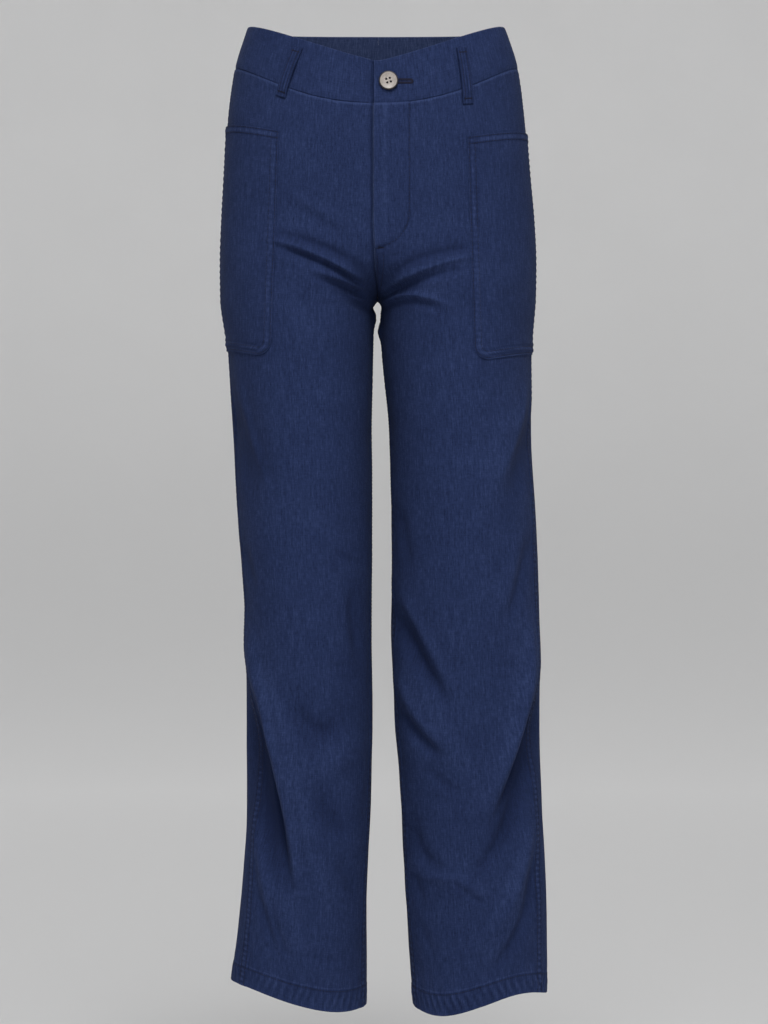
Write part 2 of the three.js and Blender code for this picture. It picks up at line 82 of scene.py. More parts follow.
# Flat-felled seams: how wide and how high the band beside the seam is, and where its rows of stitches run
FELL_WIDTH = 10.6
FELL_RAISE = 0.8
FELL_ROWS = (1.8, 9.0)
FELL_MIDDLE = sum(FELL_ROWS) / 2
LADDER = 6.6
# How much a crest is painted lighter, as fading and painted highlight, and a hollow painted darker as
# painted shade, for each millimetre of its height, and a crest's limit
CREASE_FADE_AND_SHADE = 0.075
CREST_FADE_AND_HIGHLIGHT = 0.2

# Pockets and belt loops
POCKET_CLOTH = 1.3
POCKET_CORNER = 15
POCKET_ROWS = (1.7, 8.2)
POCKET_REACH = 167
# How far a pocket's grid reaches past the side seam, in radians
POCKET_PAST_SEAM = 0.002
LOOP_WIDTH = 12
LOOP_CLOTH = 1.4
LOOP_BOW = 3.2
LOOP_SEAT = 0.5
LOOP_ROWS = (-3.4, 3.4)

# Button and buttonhole
BUTTON_AT = (11.2, -30.5)
BUTTON_SEAT = 0.4
SLOT_ENDS = (9.2, 36)
SLOT_HEIGHT = 1.1
# The stitches round the buttonhole: how far out they lie, how close, how long and how thick
EYE_OUT = 1.1
EYE_PITCH = 0.62
EYE_STITCH = 2.7
EYE_RADIUS = 0.38

# Thread
STITCH = 3.0
STITCH_PITCH = 3.8
THREAD_RADIUS = 0.26

# How finely rings and strokes are walked, and how closely a place on the cloth is found
ARC_SAMPLES = 401
STROKE_STEPS = 16
SURFACE_TRIES = 12
POCKET_TRIES = 14
NORMAL_TURN = 0.002
RAY_START = -400

# Each side's columns in the table, and its seeds for the slack and for the seams
LEFT = SimpleNamespace(name="left", sign=1, outer="outerL", gap="gapL", dip="dipL", slant="slantL",
                       skew="skewL", seam="seamL", slack_seed=3, seam_seed=21)
RIGHT = SimpleNamespace(name="right", sign=-1, outer="outerR", gap="gapR", dip="dipR", slant="slantR",
                        skew="skewR", seam="seamR", slack_seed=5, seam_seed=25)
FRONT = SimpleNamespace(name="front", sign=-1, depth="front")
BACK = SimpleNamespace(name="back", sign=1, depth="back")

# Sections from the waist to the hem, one row each, as in the part's source
SECTION_COLUMNS = ("z", "outerL", "outerR", "gapL", "gapR", "part", "front", "back", "centre",
                   "dipL", "dipR", "rise", "slantL", "slantR", "skewL", "skewR", "round", "seamL", "seamR")
SECTIONS = (
    (39, 136, 140, 0.15, 0.15, 0, 97, 100, 0, 47.7, 47.7, 6, 0, 0, 0, 0, 2.2, 0, 0),
    (-6.5, 150.3, 153.8, 0.15, 0.15, 0, 102, 109, 0, 46.8, 46.8, 4, 0, 0, 0, 0, 2.25, 0, 0),
    (-60, 157.2, 161, 0.15, 0.15, 0, 105, 116, 1, 36, 36, 2, 0, 0, 0, 0, 2.35, 0, 0),
    (-120, 162.2, 164.4, 0.15, 0.15, 0, 106.5, 120.5, 3, 18, 18, 0, 0, 0, 0, 0, 2.5, 0, 0),
    (-172, 166.8, 167.2, 0.15, 0.15, 0, 105.5, 120, 5, 6, 6, 0, 0, 0, 0, 0, 2.58, 0, 0),
    (-215, 168.8, 168.6, 0.15, 0.15, 0.48, 102.5, 115, 5, 0, 0, 0, 0, 0, 0, 0, 2.28, 0, 0),
    (-255, 168.2, 168.2, 0.15, 0.15, 1, 99, 108.6, 5, 0, 0, 0, 0, 0, 0, 0, 2.02, 0, 0),
    (-264, 167.5, 167.3, 3.6, 4.6, 1, 98.4, 107.4, 5, 0, 0, 0, 0, 0, 0, 0, 2.03, 0, 0),
    (-300, 165, 162, 4.5, 5.5, 1, 96.4, 102.6, 4, 0, 0, 0, 0, 0, 0, 0, 2.05, 0, 0),
    (-400, 165.6, 156.1, 13, 7.6, 1, 90, 93, 0, 0, 0, 0, 0, 0, 0, 0, 2.08, 8, 3),
    (-500, 170.9, 149.9, 15, 7.6, 1, 84, 85, -4, 0, 0, 0, 0, 0, 0, 0, 2.1, 16, 8),
    (-600, 173.9, 143.1, 14.8, 7.4, 1, 78, 77, -7, 0, 0, 0, 0, 0, 0, 0, 2.1, 18, 11),
    (-700, 174.4, 141.5, 18.4, 6, 1, 72, 72, -5, 0, 0, 0, 0, 0, 0, 0, 2.1, 19, 16),
    (-800, 177, 141.7, 25, 7.8, 1, 68, 69, 0, 0, 0, 0, 2, 3, 0, 0, 2.1, 22, 23),
    (-900, 181.6, 146.8, 30, 12, 1, 64, 66, 5, 1, 3, 0, 7, 12, 7, 3, 2.1, 25, 28),
    (-1015, 182.8, 158.8, 38.6, 13, 1, 62, 64, 9, 1, 6.5, 0, 13, 27, 21, 9, 2.1, 27, 31),
)

# Folds, one row each: a soft stroke through three places on the face, seen from the front.
# height: how far it stands out, or in where it is below zero; width: half its breadth
FRONT_FOLDS = (
    (-106, -197, -47, -222, -10, -248, -1.6, 14),
    (8, -245, 49, -216, 93, -214, -1.6, 14),
    (-92, -222, -55, -250, -22, -275, 1.4, 14),
    (18, -268, 50, -246, 92, -240, 1.4, 14),
    (-146, -350, -135, -410, -117, -460, -4, 15),
    (156, -357, 134, -415, 113, -485, 4, 15),
    (160, -378, 150, -430, 138, -470, -3, 13),
    (-132, -640, -107, -726, -84, -805, 6, 17),
    (-131, -690, -124, -776, -96, -873, -6, 15),
    (-116, -850, -99, -911, -80, -965, 4, 15),
    (-93, -676, -63, -715, -33, -676, -4, 15),
    (-72, -745, -45, -748, -22, -718, 3, 15),
    (-72, -770, -50, -805, -33, -830, -3, 13),
    (159, -585, 153, -702, 117, -822, 6, 17),
    (166, -690, 152, -775, 116, -858, -5, 15),
    (23, -581, 44, -634, 73, -673, -4, 14),
    (31, -673, 66, -719, 92, -762, 4, 16),
    (154, -865, 138, -925, 104, -962, 4, 16),
    (52, -868, 80, -873, 112, -897, 3, 14),
)
BACK_FOLDS = (
    (16, -238, 60, -268, 118, -262, -4, 15),
    (-14, -240, -64, -262, -124, -270, -4, 15),
    (30, -290, 74, -322, 122, -330, -3, 15),
    (-34, -300, -80, -330, -118, -326, -3, 15),
    (150, -560, 108, -596, 62, -590, -5, 16),
    (146, -622, 104, -640, 60, -628, 4, 16),
    (-128, -570, -88, -604, -44, -592, -5, 16),
    (-122, -650, -84, -664, -40, -640, 4, 16),
    (158, -700, 142, -790, 106, -866, 5, 17),
    (-130, -690, -112, -782, -78, -850, 5, 17),
    (62, -800, 92, -862, 132, -892, -4, 15),
    (-40, -830, -72, -880, -112, -906, -4, 15),
)
# Finer and sharper creases, in the same columns
FRONT_CREASES = (
    # From the pockets to the crotch
    (-114, -188, -62, -202, -16, -228, -3, 4.5),
    (-116, -195, -60, -214, -4, -246, 4.8, 3.4),
    (-112, -203, -58, -221, -4, -252, -4.8, 4),
    (-72, -227, -36, -238, -4, -251, 3, 3.3),
    (-70, -235, -34, -246, -4, -259, -4.4, 4),
    (-46, -250, -24, -260, -6, -272, -3.2, 5),
    (-96, -147, -66, -164, -34, -186, 1.6, 7),
    (-94, -156, -58, -177, -30, -197, -2, 7),
    (112, -205, 60, -212, 16, -232, -2.6, 5),
    (108, -211, 50, -226, 4, -246, 4.6, 3.4),
    (98, -226, 46, -238, 4, -254, -4.4, 4),
    (2, -259, 38, -253, 80, -268, 3.2, 3.3),
    (4, -266, 36, -260, 70, -274, -2.6, 4),
    (3, -207, 14, -198, 31, -183, -1, 2.8),
    (8, -220, 20, -212, 30, -196, -0.9, 2.8),
    (-150, -330, -138, -395, -114, -462, 2.4, 5),
    (-160, -350, -150, -410, -128, -480, -3, 9),
    (160, -335, 148, -395, 124, -456, 2.4, 5),
    (168, -360, 160, -410, 142, -470, -2.6, 9),
    # The wearer's right leg
    (-142, -515, -138, -540, -130, -566, -2.6, 5),
    (-48, -524, -32, -533, -12, -542, -2, 4.5),
    (-27, -560, -24, -600, -18, -655, -4, 7),
    (-141, -594, -121, -690, -84, -800, 6, 6.5),
    (-139, -655, -128, -768, -102, -896, -9, 14),
    (-129, -676, -113, -782, -92, -884, -8, 5),
    (-117, -700, -111, -745, -100, -795, 2.2, 4),
    (-115, -690, -106, -728, -95, -780, -3.2, 4),
    (-134, -790, -124, -860, -103, -940, 4, 5.5),
    (-130, -882, -120, -918, -103, -964, -2.8, 4.5),
    (-115, -882, -109, -918, -93, -962, -3.2, 4.5),
    (-104, -752, -92, -830, -82, -908, 5.5, 6),
    (-86, -768, -70, -850, -38, -938, 2.4, 9),
    (-66, -768, -50, -812, -22, -828, -2.6, 7),
    (-46, -852, -32, -872, -26, -905, -2, 8),
    (-78, -950, -58, -960, -38, -962, -1.6, 6),
    (-92, -688, -66, -710, -38, -717, -2.4, 8),
    (-48, -640, -34, -655, -16, -668, -1.8, 7),
    # The wearer's left leg
    (24, -478, 27, -505, 34, -545, -2.6, 6),
    (19, -556, 52, -622, 84, -683, 3.5, 6.5),
    (17, -590, 42, -640, 73, -684, -5.5, 7),
    (25, -650, 36, -690, 78, -740, 3, 6),
    (20, -690, 44, -722, 70, -742, -5, 7),
    (56, -755, 72, -772, 92, -780, -2, 6),
    (39, -800, 46, -846, 78, -862, -3.8, 8),
    (44, -873, 62, -872, 84, -874, 1.8, 4.5),
    (84, -867, 100, -881, 121, -892, 1.2, 5),
    (78, -873, 96, -889, 115, -900, -2.2, 3.5),
    (38, -868, 42, -885, 50, -905, -2.2, 5),
    (43, -920, 51, -938, 62, -962, -1.8, 6),
    (150, -498, 142, -545, 128, -590, 2, 9),
    (161, -505, 152, -552, 136, -604, -3.6, 6.5),
    (160, -590, 150, -700, 110, -804, 6, 6.5),
    (172, -662, 160, -742, 130, -822, -9, 11),
    (162, -690, 148, -752, 120, -816, -7, 5),
    (148, -792, 128, -836, 98, -872, -5, 7),
    (162, -800, 148, -880, 98, -956, 5, 7.5),
    (166, -840, 156, -915, 118, -974, -6, 7),
)
BACK_CREASES = (
    (20, -220, 46, -238, 84, -240, -2, 7),
    (-18, -222, -50, -236, -88, -238, -2, 7),
    (22, -232, 52, -254, 96, -258, 2.6, 6),
    (-20, -234, -54, -254, -98, -256, 2.4, 6),
    (24, -262, 52, -290, 92, -300, -2.4, 8),
    (-24, -266, -58, -290, -96, -302, -2.2, 8),
    (140, -590, 104, -612, 66, -608, 2.4, 7),
    (-118, -596, -84, -626, -48, -616, 2.2, 7),
    (44, -566, 70, -574, 96, -566, -2, 7),
    (-34, -560, -58, -576, -86, -572, -2, 7),
    (134, -640, 106, -668, 58, -664, -3, 7),
    (-114, -672, -84, -690, -46, -672, -2.6, 7),
    (158, -706, 146, -800, 118, -884, -4, 8),
    (-128, -700, -116, -790, -92, -868, -3.6, 8),
    (138, -900, 112, -934, 84, -946, -2.4, 8),
    (-130, -906, -98, -940, -62, -948, -2.2, 8),
    (60, -960, 78, -930, 86, -890, 2, 8),
    (-50, -962, -66, -930, -74, -896, 1.8, 8),
)

# Each pocket's corners seen from the front: its slanting top and bottom run from the inner edge to side_x
POCKET_FIELDS = ("side", "side_x", "top_side", "top_inner", "top_x", "bottom_x", "bottom_inner",
                 "bottom_side")
POCKETS = (
    (LEFT, 190, -70, -87.5, 94, 101, -322, -306),
    (RIGHT, -190, -61, -81, -104, -112, -317, -300),
)
# Each loop's side and face, and the x and z of its two ends
LOOPS = (
    ("loop_front_left", LEFT, FRONT, 87.5, 7, 94.7, -53),
    ("loop_front_right", RIGHT, FRONT, -83.8, 7, -102, -45),
    ("loop_back_left", LEFT, BACK, 80, 33, 84, -26),
    ("loop_back_right", RIGHT, BACK, -80, 33, -84, -26),
    ("loop_back_centre", LEFT, BACK, 0, 36, 0, -24),
)

# How far across the cloth's map each kind of piece starts, so that no two have the same threads
MAP_START = {"front": 0, "back": 1000, "band": 2000, "shield": 3000, "pocket": 4000, "loop": 5000}


# Smooth steps, waves and noise

# Large uneven factors for a place's column, row and seed, and for their sine, that scatter neighbours
SCATTER = (127.1, 311.7, 74.7, 43758.5453)


def smooth(start, end, value):
    t = np.clip((value - start) / (end - start), 0, 1)
    return t * t * (3 - 2 * t)


def bell(value, width):
    return np.exp(-(value / width) ** 2)


def ripple(u, v, seed):
    """Smooth noise from -1 to 1, about one bump for each step of 1 in u and v."""
    by_column, by_row, by_seed, by_sine = SCATTER
    column, row = np.floor(u), np.floor(v)
    across, down = smooth(0, 1, u - column), smooth(0, 1, v - row)

    def corner(i, j):
        value = np.sin((column + i) * by_column + (row + j) * by_row + seed * by_seed) * by_sine
        return 2 * (value - np.floor(value)) - 1

    top = corner(0, 0) * (1 - across) + corner(1, 0) * across
    bottom = corner(0, 1) * (1 - across) + corner(1, 1) * across
    return top * (1 - down) + bottom * down


def pucker(along, length, seed):
    """An uneven wave from -1 to 1 along a seam."""
    drift = 1.6 * ripple(along / (3 * length), along * 0 + 0.5, seed)
    strength = 0.62 + 0.38 * ripple(along / (2.2 * length), along * 0 + 7.5, seed + 1)
    return strength * np.sin(2 * np.pi * along / length + drift)


# The garment's form

def curve_through(column):
    """A smooth curve through the table's rows that never overshoots them."""
    table = np.array(SECTIONS)
    z, v = table[:, 0], table[:, SECTION_COLUMNS.index(column)]
    secants = np.diff(v) / np.diff(z)
    before = np.concatenate([secants[:1], secants])
    after = np.concatenate([secants, secants[-1:]])
    total = np.where(before * after > 0, before + after, 1)
    slopes = np.where(before * after > 0, 2 * before * after / total, 0)

    def at(level):
        i = np.clip(np.searchsorted(-z, -level) - 1, 0, len(z) - 2)
        span = z[i + 1] - z[i]
        t = (level - z[i]) / span
        return (v[i] * (2 * t ** 3 - 3 * t ** 2 + 1) + slopes[i] * span * (t ** 3 - 2 * t ** 2 + t)
                + v[i + 1] * (3 * t ** 2 - 2 * t ** 3) + slopes[i + 1] * span * (t ** 3 - t ** 2))

    return at


section = {name: curve_through(name) for name in SECTION_COLUMNS[1:]}


def ring_at(side, level):
    """The size and place of one half's ring at a level."""
    outer = section[side.outer](level)
    part = section["part"](level)
    gap = np.maximum(section[side.gap](level) - (SEAM - CLOSED_SEAM) / 2, CLOSED_SEAM / 2)
    half = (outer - gap * part) / (1 + part)
    return SimpleNamespace(level=level, part=part, half=half, middle=outer - half,
                           round=section["round"](level))


def ring_point(side, ring, angle):
    """A point of one half's ring: angle 0 is its outer end and PI its inner one, by way of the front."""
    c, s = np.cos(angle), np.sin(angle)
    front = s > 0
    reach = np.abs(s)
    depth = np.where(front, -section["front"](ring.level), section["back"](ring.level))
    pointed = smooth(BAND_BOTTOM, BAND_TOP, ring.level)
    hollow = reach ** DIP_ROUND * (1 - pointed) + (1 - np.abs(c) ** DIP_POINT) * pointed
    drop = np.where(front, -section[side.dip](ring.level) * hollow, section["rise"](ring.level) * s * s)
    lift = section[side.slant](ring.level) * (1 + c) / 2 + section[side.skew](ring.level) * c * s * s
    power = 2 / ring.round
    x = side.sign * (ring.middle + ring.half * np.sign(c) * np.abs(c) ** power)
    y = section["centre"](ring.level) + depth * reach ** power
    z = ring.level + lift + drop
    return np.stack(np.broadcast_arrays(x, y, z), axis=-1)


def angle_at(ring, x):
    """The angle at which a ring passes a distance from the centre."""
    u = np.clip((x - ring.middle) / ring.half, -1, 1)
    return np.arccos(np.sign(u) * np.abs(u) ** (ring.round / 2))


def normal_at(side, ring, angle):
    along = ring_point(side, ring, angle + NORMAL_TURN) - ring_point(side, ring, angle - NORMAL_TURN)
    below, above = ring_at(side, ring.level - 1), ring_at(side, ring.level + 1)
    down = ring_point(side, below, angle) - ring_point(side, above, angle)
    normal = side.sign * np.cross(along, down)
    return normal / np.linalg.norm(normal, axis=-1, keepdims=True)


def surface_at(side, face, x, z):
    """The places on the cloth behind x and z as seen from the front, or from the back."""
    level = z + 0.0
    for _ in range(SURFACE_TRIES):
        ring = ring_at(side, level)
        angle = -face.sign * angle_at(ring, side.sign * x)
        point = ring_point(side, ring, angle)
        level = level + z - point[..., 2]
    return point, normal_at(side, ring, angle)


def inner_edge(side, face, ring):
    """How far from the centre a half ends: past it on the left front, which laps over the right one."""
    lap = FLY_LAP * (1 - ring.part) if face is FRONT else 0
    return CLOSED_SEAM / 2 - lap if side is LEFT else CLOSED_SEAM / 2 + lap


def cloth_patch(side, face, levels, places):
    """A grid of places on one panel: a row for each level, at the distances from its inner edge that places
    gives for the row's width."""
    level = levels[:, None]
    ring = ring_at(side, level)
    seam = np.radians(section[side.seam](level))
    inner = angle_at(ring, inner_edge(side, face, ring))
    inseam = seam * INSEAM_TURN
    first = np.minimum(inner, np.pi - inseam) if face is FRONT else -inner - inseam
    angles = first + (seam - first) * np.linspace(0, 1, ARC_SAMPLES)
    arc = ring_point(side, ring, angles)
    lengths = np.pad(np.cumsum(np.linalg.norm(np.diff(arc, axis=1), axis=2), axis=1), ((0, 0), (1, 0)))
    start = CLOSED_SEAM / 2 * ring.part[:, 0]
    width = lengths[:, -1] - start - CLOSED_SEAM / 2
    distance = np.array([places(each) for each in width])
    angle = np.array([np.interp(s + d, l, a) for s, d, l, a in zip(start, distance, lengths, angles)])
    return SimpleNamespace(
        side=side, face=face, level=np.broadcast_to(level, angle.shape), base=ring_point(side, ring, angle),
        normal=normal_at(side, ring, angle), from_edge=distance, to_seam=width[:, None] - distance)


def grain(patch):
    """Distances across the cloth from its straight grain, which runs down the middle of the leg."""
    level = patch.level[:, 0]
    line = (section[patch.side.outer](level) + section[patch.side.gap](level)) / 2
    x = patch.side.sign * patch.base[..., 0]
    return np.array([row - np.interp(at, across, row) for row, at, across in zip(patch.from_edge, line, x)])


def stroke(x, z, row):
    """How far one fold's stroke moves each place out, fading along both ends and to its sides."""
    x0, z0, x1, z1, x2, z2, height, width = row
    ends = np.array([[x0, z0], [2 * x1 - (x0 + x2) / 2, 2 * z1 - (z0 + z2) / 2], [x2, z2]])
    t = np.linspace(0, 1, STROKE_STEPS + 1)[:, None]
    path = (1 - t) ** 2 * ends[0] + 2 * t * (1 - t) * ends[1] + t ** 2 * ends[2]
    nearest = np.full(x.shape, np.inf)
    along = np.zeros(x.shape)
    for i, (a, b) in enumerate(zip(path[:-1], path[1:])):
        step = b - a
        share = np.clip(((x - a[0]) * step[0] + (z - a[1]) * step[1]) / (step @ step), 0, 1)
        distance = np.hypot(x - a[0] - share * step[0], z - a[1] - share * step[1])
        closer = distance < nearest
        nearest = np.where(closer, distance, nearest)
        along = np.where(closer, (i + share) / STROKE_STEPS, along)
    return height * smooth(-0.1, 0.35, along) * smooth(1.1, 0.65, along) * bell(nearest, width)


def folds(patch):
    """How far the folds and creases move the cloth out. They fade where it turns away to the sides."""
    x, z = patch.base[..., 0], patch.base[..., 2]
    depth = patch.base[..., 1] - section["centre"](patch.level)
    total = np.zeros(x.shape)
    for here, rows in ((depth < 0, FRONT_FOLDS + FRONT_CREASES), (depth >= 0, BACK_FOLDS + BACK_CREASES)):
        for row in rows:
            reach = 3 * row[7]
            near = here & (x > min(row[0:6:2]) - reach) & (x < max(row[0:6:2]) + reach)
            near &= (z > min(row[1:6:2]) - reach) & (z < max(row[1:6:2]) + reach)
            if near.any():
                total[near] += stroke(x[near], z[near], row)
    return total * smooth(0, FOLD_FADE, np.abs(depth))


def slack(patch):
    """The soft unevenness of light cloth that hangs free, strongest down the legs."""
    seed = patch.side.slack_seed
    around = patch.from_edge + (0 if patch.face is FRONT else 400)
    z = patch.level
    broad = ripple(around / 46 + z / 150, z / 88, seed)
    fine = ripple(around / 21 - z / 60, z / 44, seed + 10)
    loose = 0.5 + 0.5 * smooth(-250, -600, z)
    calm = smooth(0, 26, patch.to_seam)
    return loose * calm * (0.85 * broad + 0.3 * fine)


def rungs(distance, along, seed):
    """The ladder of puckers between a felled seam's two rows of stitches."""
    return pucker(along, LADDER, seed) * bell(distance - FELL_MIDDLE, 3.6)


def fell(distance, along, seed):
    """A flat-felled band beside a seam, tight at its rows of stitches and puckered between them."""
    raised = FELL_RAISE * smooth(FELL_WIDTH + 1.2, FELL_WIDTH - 0.2, distance)
    rows = sum(bell(distance - row, 0.7) for row in FELL_ROWS)
    near = smooth(34, 12, distance) * smooth(FELL_WIDTH, 13, distance)
    beside = pucker(along, 2 * LADDER, seed + 4) * near
    return raised - 0.22 * rows + 0.6 * rungs(distance, along, seed) + 0.32 * beside


def turned_edge(distance, radius, depth):
    """How far a folded edge turns in where the cloth ends."""
    t = np.clip(1 - distance / radius, 0, 1)
    return -depth * (1 - np.sqrt(1 - t * t))


def fly_reach(z):
    """How far from the folded edge the fly's row of stitches runs: straight, then round to the edge."""
    t = np.clip((FLY_BEND - z) / (FLY_BEND - FLY_BOTTOM), 0, 1)
    return FLY_WIDTH * np.sqrt(1 - t * t)


def fly(patch):
    """The fly's doubled cloth on the left front, its folded edge and the shield's edge below it."""
    z = patch.base[..., 2]
    inside = fly_reach(z) - patch.from_edge
    above = smooth(FLY_BOTTOM - 6, FLY_BOTTOM + 2, z)
    raised = FLY_RAISE * smooth(-1.5, 1.5, inside) * above
    line = bell(inside, 0.9) * above
    tuck = pucker(z, 13, 31) * bell(inside - 7, 5) * smooth(-175, -130, z)
    ridge = 0.35 * bell(patch.from_edge - 11, 2.2) * smooth(FLY_BOTTOM, -150, z)
    roll = 0.5 * smooth(5, 1, patch.from_edge) * above
    return raised - 0.45 * line + 0.5 * tuck + ridge + roll


def hem_seed(patch):
    return 41 + (patch.side is LEFT) + 2 * (patch.face is FRONT)


def gathers(patch):
    """The hem's slanting puckers between its edge and its row of stitches."""
    height = patch.level - HEM
    return pucker(patch.from_edge + 0.35 * height, 8.6, hem_seed(patch)) * bell(height - 13, 9)


def hem(patch):
    """The hem's second layer below its row of stitches, puckered all round."""
    height = patch.level - HEM
    layer = 0.5 * smooth(HEM_DEPTH + 0.8, HEM_DEPTH - 0.4, height)
    row = bell(height - HEM_ROW, 0.8)
    above = pucker(patch.from_edge, 13, hem_seed(patch) + 4)
    above = above * smooth(HEM_DEPTH + 30, HEM_DEPTH + 4, height) * (height > HEM_DEPTH)
    return layer - 0.28 * row + 0.75 * gathers(patch) + 0.5 * above + turned_edge(height, 1.2, 0.7)


def centre_band(patch):
    """Where the centre seam is felled: below the fly in front, and all the way up the back."""
    above = smooth(CROTCH - 4, CROTCH + 4, patch.level)
    if patch.face is FRONT:
        above = above * smooth(FLY_BOTTOM + 2, FLY_BOTTOM - 8, patch.level)
    return above


def crotch_notch(patch):
    """The inner thighs' uneven edges just below the crotch, where the legs part."""
    inward = smooth(26, 6, patch.from_edge) * smooth(CROTCH, CROTCH - 3, patch.level)
    if patch.side is LEFT:
        return inward * (3.4 * bell(patch.level + 288, 9) - 2.2 * bell(patch.level + 259, 5))
    return inward * (2.6 * bell(patch.level + 274, 9) - 3.6 * bell(patch.level + 259, 5))


def panel_relief(patch):
    """The fine form of a panel, over its folds."""
    legs = smooth(CROTCH + 4, CROTCH - 8, patch.level)
    seed = patch.side.seam_seed
    relief = hem(patch)
    if patch.face is FRONT:
        relief = relief + fell(patch.to_seam, patch.level, seed)
        relief = relief + legs * fell(patch.from_edge, patch.level, seed + 2)
    if patch.side is LEFT:
        relief = relief + centre_band(patch) * fell(patch.from_edge, patch.level, 61)
        if patch.face is FRONT:
            relief = relief + fly(patch)
    elif patch.face is FRONT:
        relief = relief - 1.7 * smooth(4.5, 0.5, patch.from_edge) * smooth(CROTCH, CROTCH + 30, patch.level)
    facing = np.where(patch.level > CROTCH - 12, np.abs(patch.normal[..., 1]) ** 3, 1)
    relief = relief + facing * turned_edge(patch.from_edge, 0.9, 0.5) + turned_edge(patch.to_seam, 0.9, 0.5)
    top = PANEL_TOP - patch.level
    relief = relief + turned_edge(top, 0.9, 0.4)
    relief = relief + 0.25 * pucker(patch.from_edge, 15, seed + 6) * bell(top - 7, 8)
    return relief + crotch_notch(patch)


# Meshes

def volume_of(vertices, quads):
    """A closed mesh's volume times six, below zero where its faces look inwards."""
    a, b, c, d = (vertices[quads[:, i]] for i in range(4))
    return np.einsum("ij,ij->i", a, np.cross(b, c)).sum() + np.einsum("ij,ij->i", a, np.cross(c, d)).sum()


def grid_quads(rows, columns, start=0):
    index = start + np.arange(rows * columns).reshape(rows, columns)
    corners = (index[:-1, :-1], index[1:, :-1], index[1:, 1:], index[:-1, 1:])
    return np.stack([corner.ravel() for corner in corners], axis=1)


def rim_of(index):
    """A grid's border as a closed walk."""
    return np.concatenate([index[0, :-1], index[:-1, -1], index[-1, :0:-1], index[:0:-1, 0]])


def shell(outer, inner):
    """Vertices and faces of a closed cloth. The inner grid is as fine as the outer one, or half as fine."""
    rows, columns = outer.shape[:2]
    inner_rows, inner_columns = inner.shape[:2]
    vertices = np.concatenate([outer.reshape(-1, 3), inner.reshape(-1, 3)])
    outside = grid_quads(rows, columns)
    inside = grid_quads(inner_rows, inner_columns, rows * columns)[:, ::-1]
    outer_rim = rim_of(np.arange(rows * columns).reshape(rows, columns))
    inner_index = np.arange(inner_rows * inner_columns).reshape(inner_rows, inner_columns)
    inner_rim = rim_of(rows * columns + inner_index)
    step = len(outer_rim) // len(inner_rim)
    rim = []
    for i, corner in enumerate(inner_rim):
        outer_walk = [outer_rim[(i * step + k) % len(outer_rim)] for k in range(step + 1)]
        rim.append([int(v) for v in (*outer_walk, inner_rim[(i + 1) % len(inner_rim)], corner)])
    flipped = volume_of(vertices, np.concatenate([outside, inside])) < 0
    if flipped:
        outside, inside = outside[:, ::-1], inside[:, ::-1]
    else:
        rim = [face[::-1] for face in rim]
    faces = outside.tolist() + inside.tolist() + rim
    return vertices, faces, (len(outside), len(inside), len(rim))


def add_object(name, data):
    made = bpy.data.objects.new(name, data)
    bpy.context.scene.collection.objects.link(made)
    return made


def new_piece(name, vertices, faces, materials, sharp=50):
    mesh = bpy.data.meshes.new(name)
    mesh.from_pydata((vertices * MM).tolist(), [], faces)
    for material in materials:
        mesh.materials.append(material)
    mesh.shade_smooth()
    mesh.set_sharp_from_angle(angle=math.radians(sharp))
    piece = add_object(name, mesh)
    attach(piece, "root")
    return piece


def add_cloth_map(piece, places):
    """A map in metres of cloth: across it and along its warp."""
    mesh = piece.data
    layer = mesh.uv_layers.new(name="cloth")
    corners = np.empty(len(mesh.loops), dtype=np.int32)
    mesh.loops.foreach_get("vertex_index", corners)
    layer.data.foreach_set("uv", (places * MM)[corners].astype(np.float32).ravel())


def add_wear_and_shade(piece, wear):
    """How much each place has faded, from -1 where it is still dark to 1 on the most worn edges; it also
    holds painted shade in hollows, grooves and beside lapped edges, and painted highlight on crests.
    """
    attribute = piece.data.attributes.new("wear", "FLOAT", "POINT")
    attribute.data.foreach_set("value", wear.astype(np.float32))


def carve(piece, cutters):
    """Cuts closed shapes out of a piece."""
    for cutter in cutters:
        modifier = piece.modifiers.new("cut", "BOOLEAN")
        modifier.operation = "DIFFERENCE"
        modifier.solver = "EXACT"
        modifier.object = cutter
    bpy.context.view_layer.update()
    depsgraph = bpy.context.evaluated_depsgraph_get()
    piece.data = bpy.data.meshes.new_from_object(piece.evaluated_get(depsgraph), depsgraph=depsgraph)
    piece.modifiers.clear()
    for cutter in cutters:
        bpy.data.objects.remove(cutter)


def cloth_piece(name, outer, inner, across, along, wear, half=False):
    """A cloth shell with its map, and its wear with painted shade and highlight. With half set, its inner
    grid has every second place only.
    """
    pick = (slice(None, None, 2), slice(None, None, 2)) if half else (slice(None), slice(None))
    vertices, faces, counts = shell(outer, inner[pick])
    piece = new_piece(f"{name}_cloth", vertices, faces, [denim, denim_inside])
    sides = np.repeat([0, 1, 0], counts).astype(np.int32)
    piece.data.polygons.foreach_set("material_index", sides)
    places = np.stack([across, along], axis=-1)
    add_cloth_map(piece, np.concatenate([places.reshape(-1, 2), places[pick].reshape(-1, 2)]))
    add_wear_and_shade(piece, np.concatenate([wear.ravel(), 0 * wear[pick].ravel()]))
    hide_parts(name)
    return piece


# Stitches

def resample(points, normals, pitch):
    """Places at even steps along a line, with the line's direction and the cloth's normal at each."""
    lengths = np.concatenate([[0], np.cumsum(np.linalg.norm(np.diff(points, axis=0), axis=1))])
    count = max(int(lengths[-1] / pitch), 1)
    wanted = (np.arange(count) + 0.5) * lengths[-1] / count

    def at(values, where):
        return np.stack([np.interp(where, lengths, values[:, i]) for i in range(3)], axis=1)

    reach = STITCH / 2
    direction = at(points, wanted + reach) - at(points, wanted - reach)
    direction /= np.linalg.norm(direction, axis=1, keepdims=True)
    middle = (at(points, wanted + reach) + at(points, wanted - reach)) / 2
    normal = at(normals, wanted)
    return middle, direction, normal / np.linalg.norm(normal, axis=1, keepdims=True)


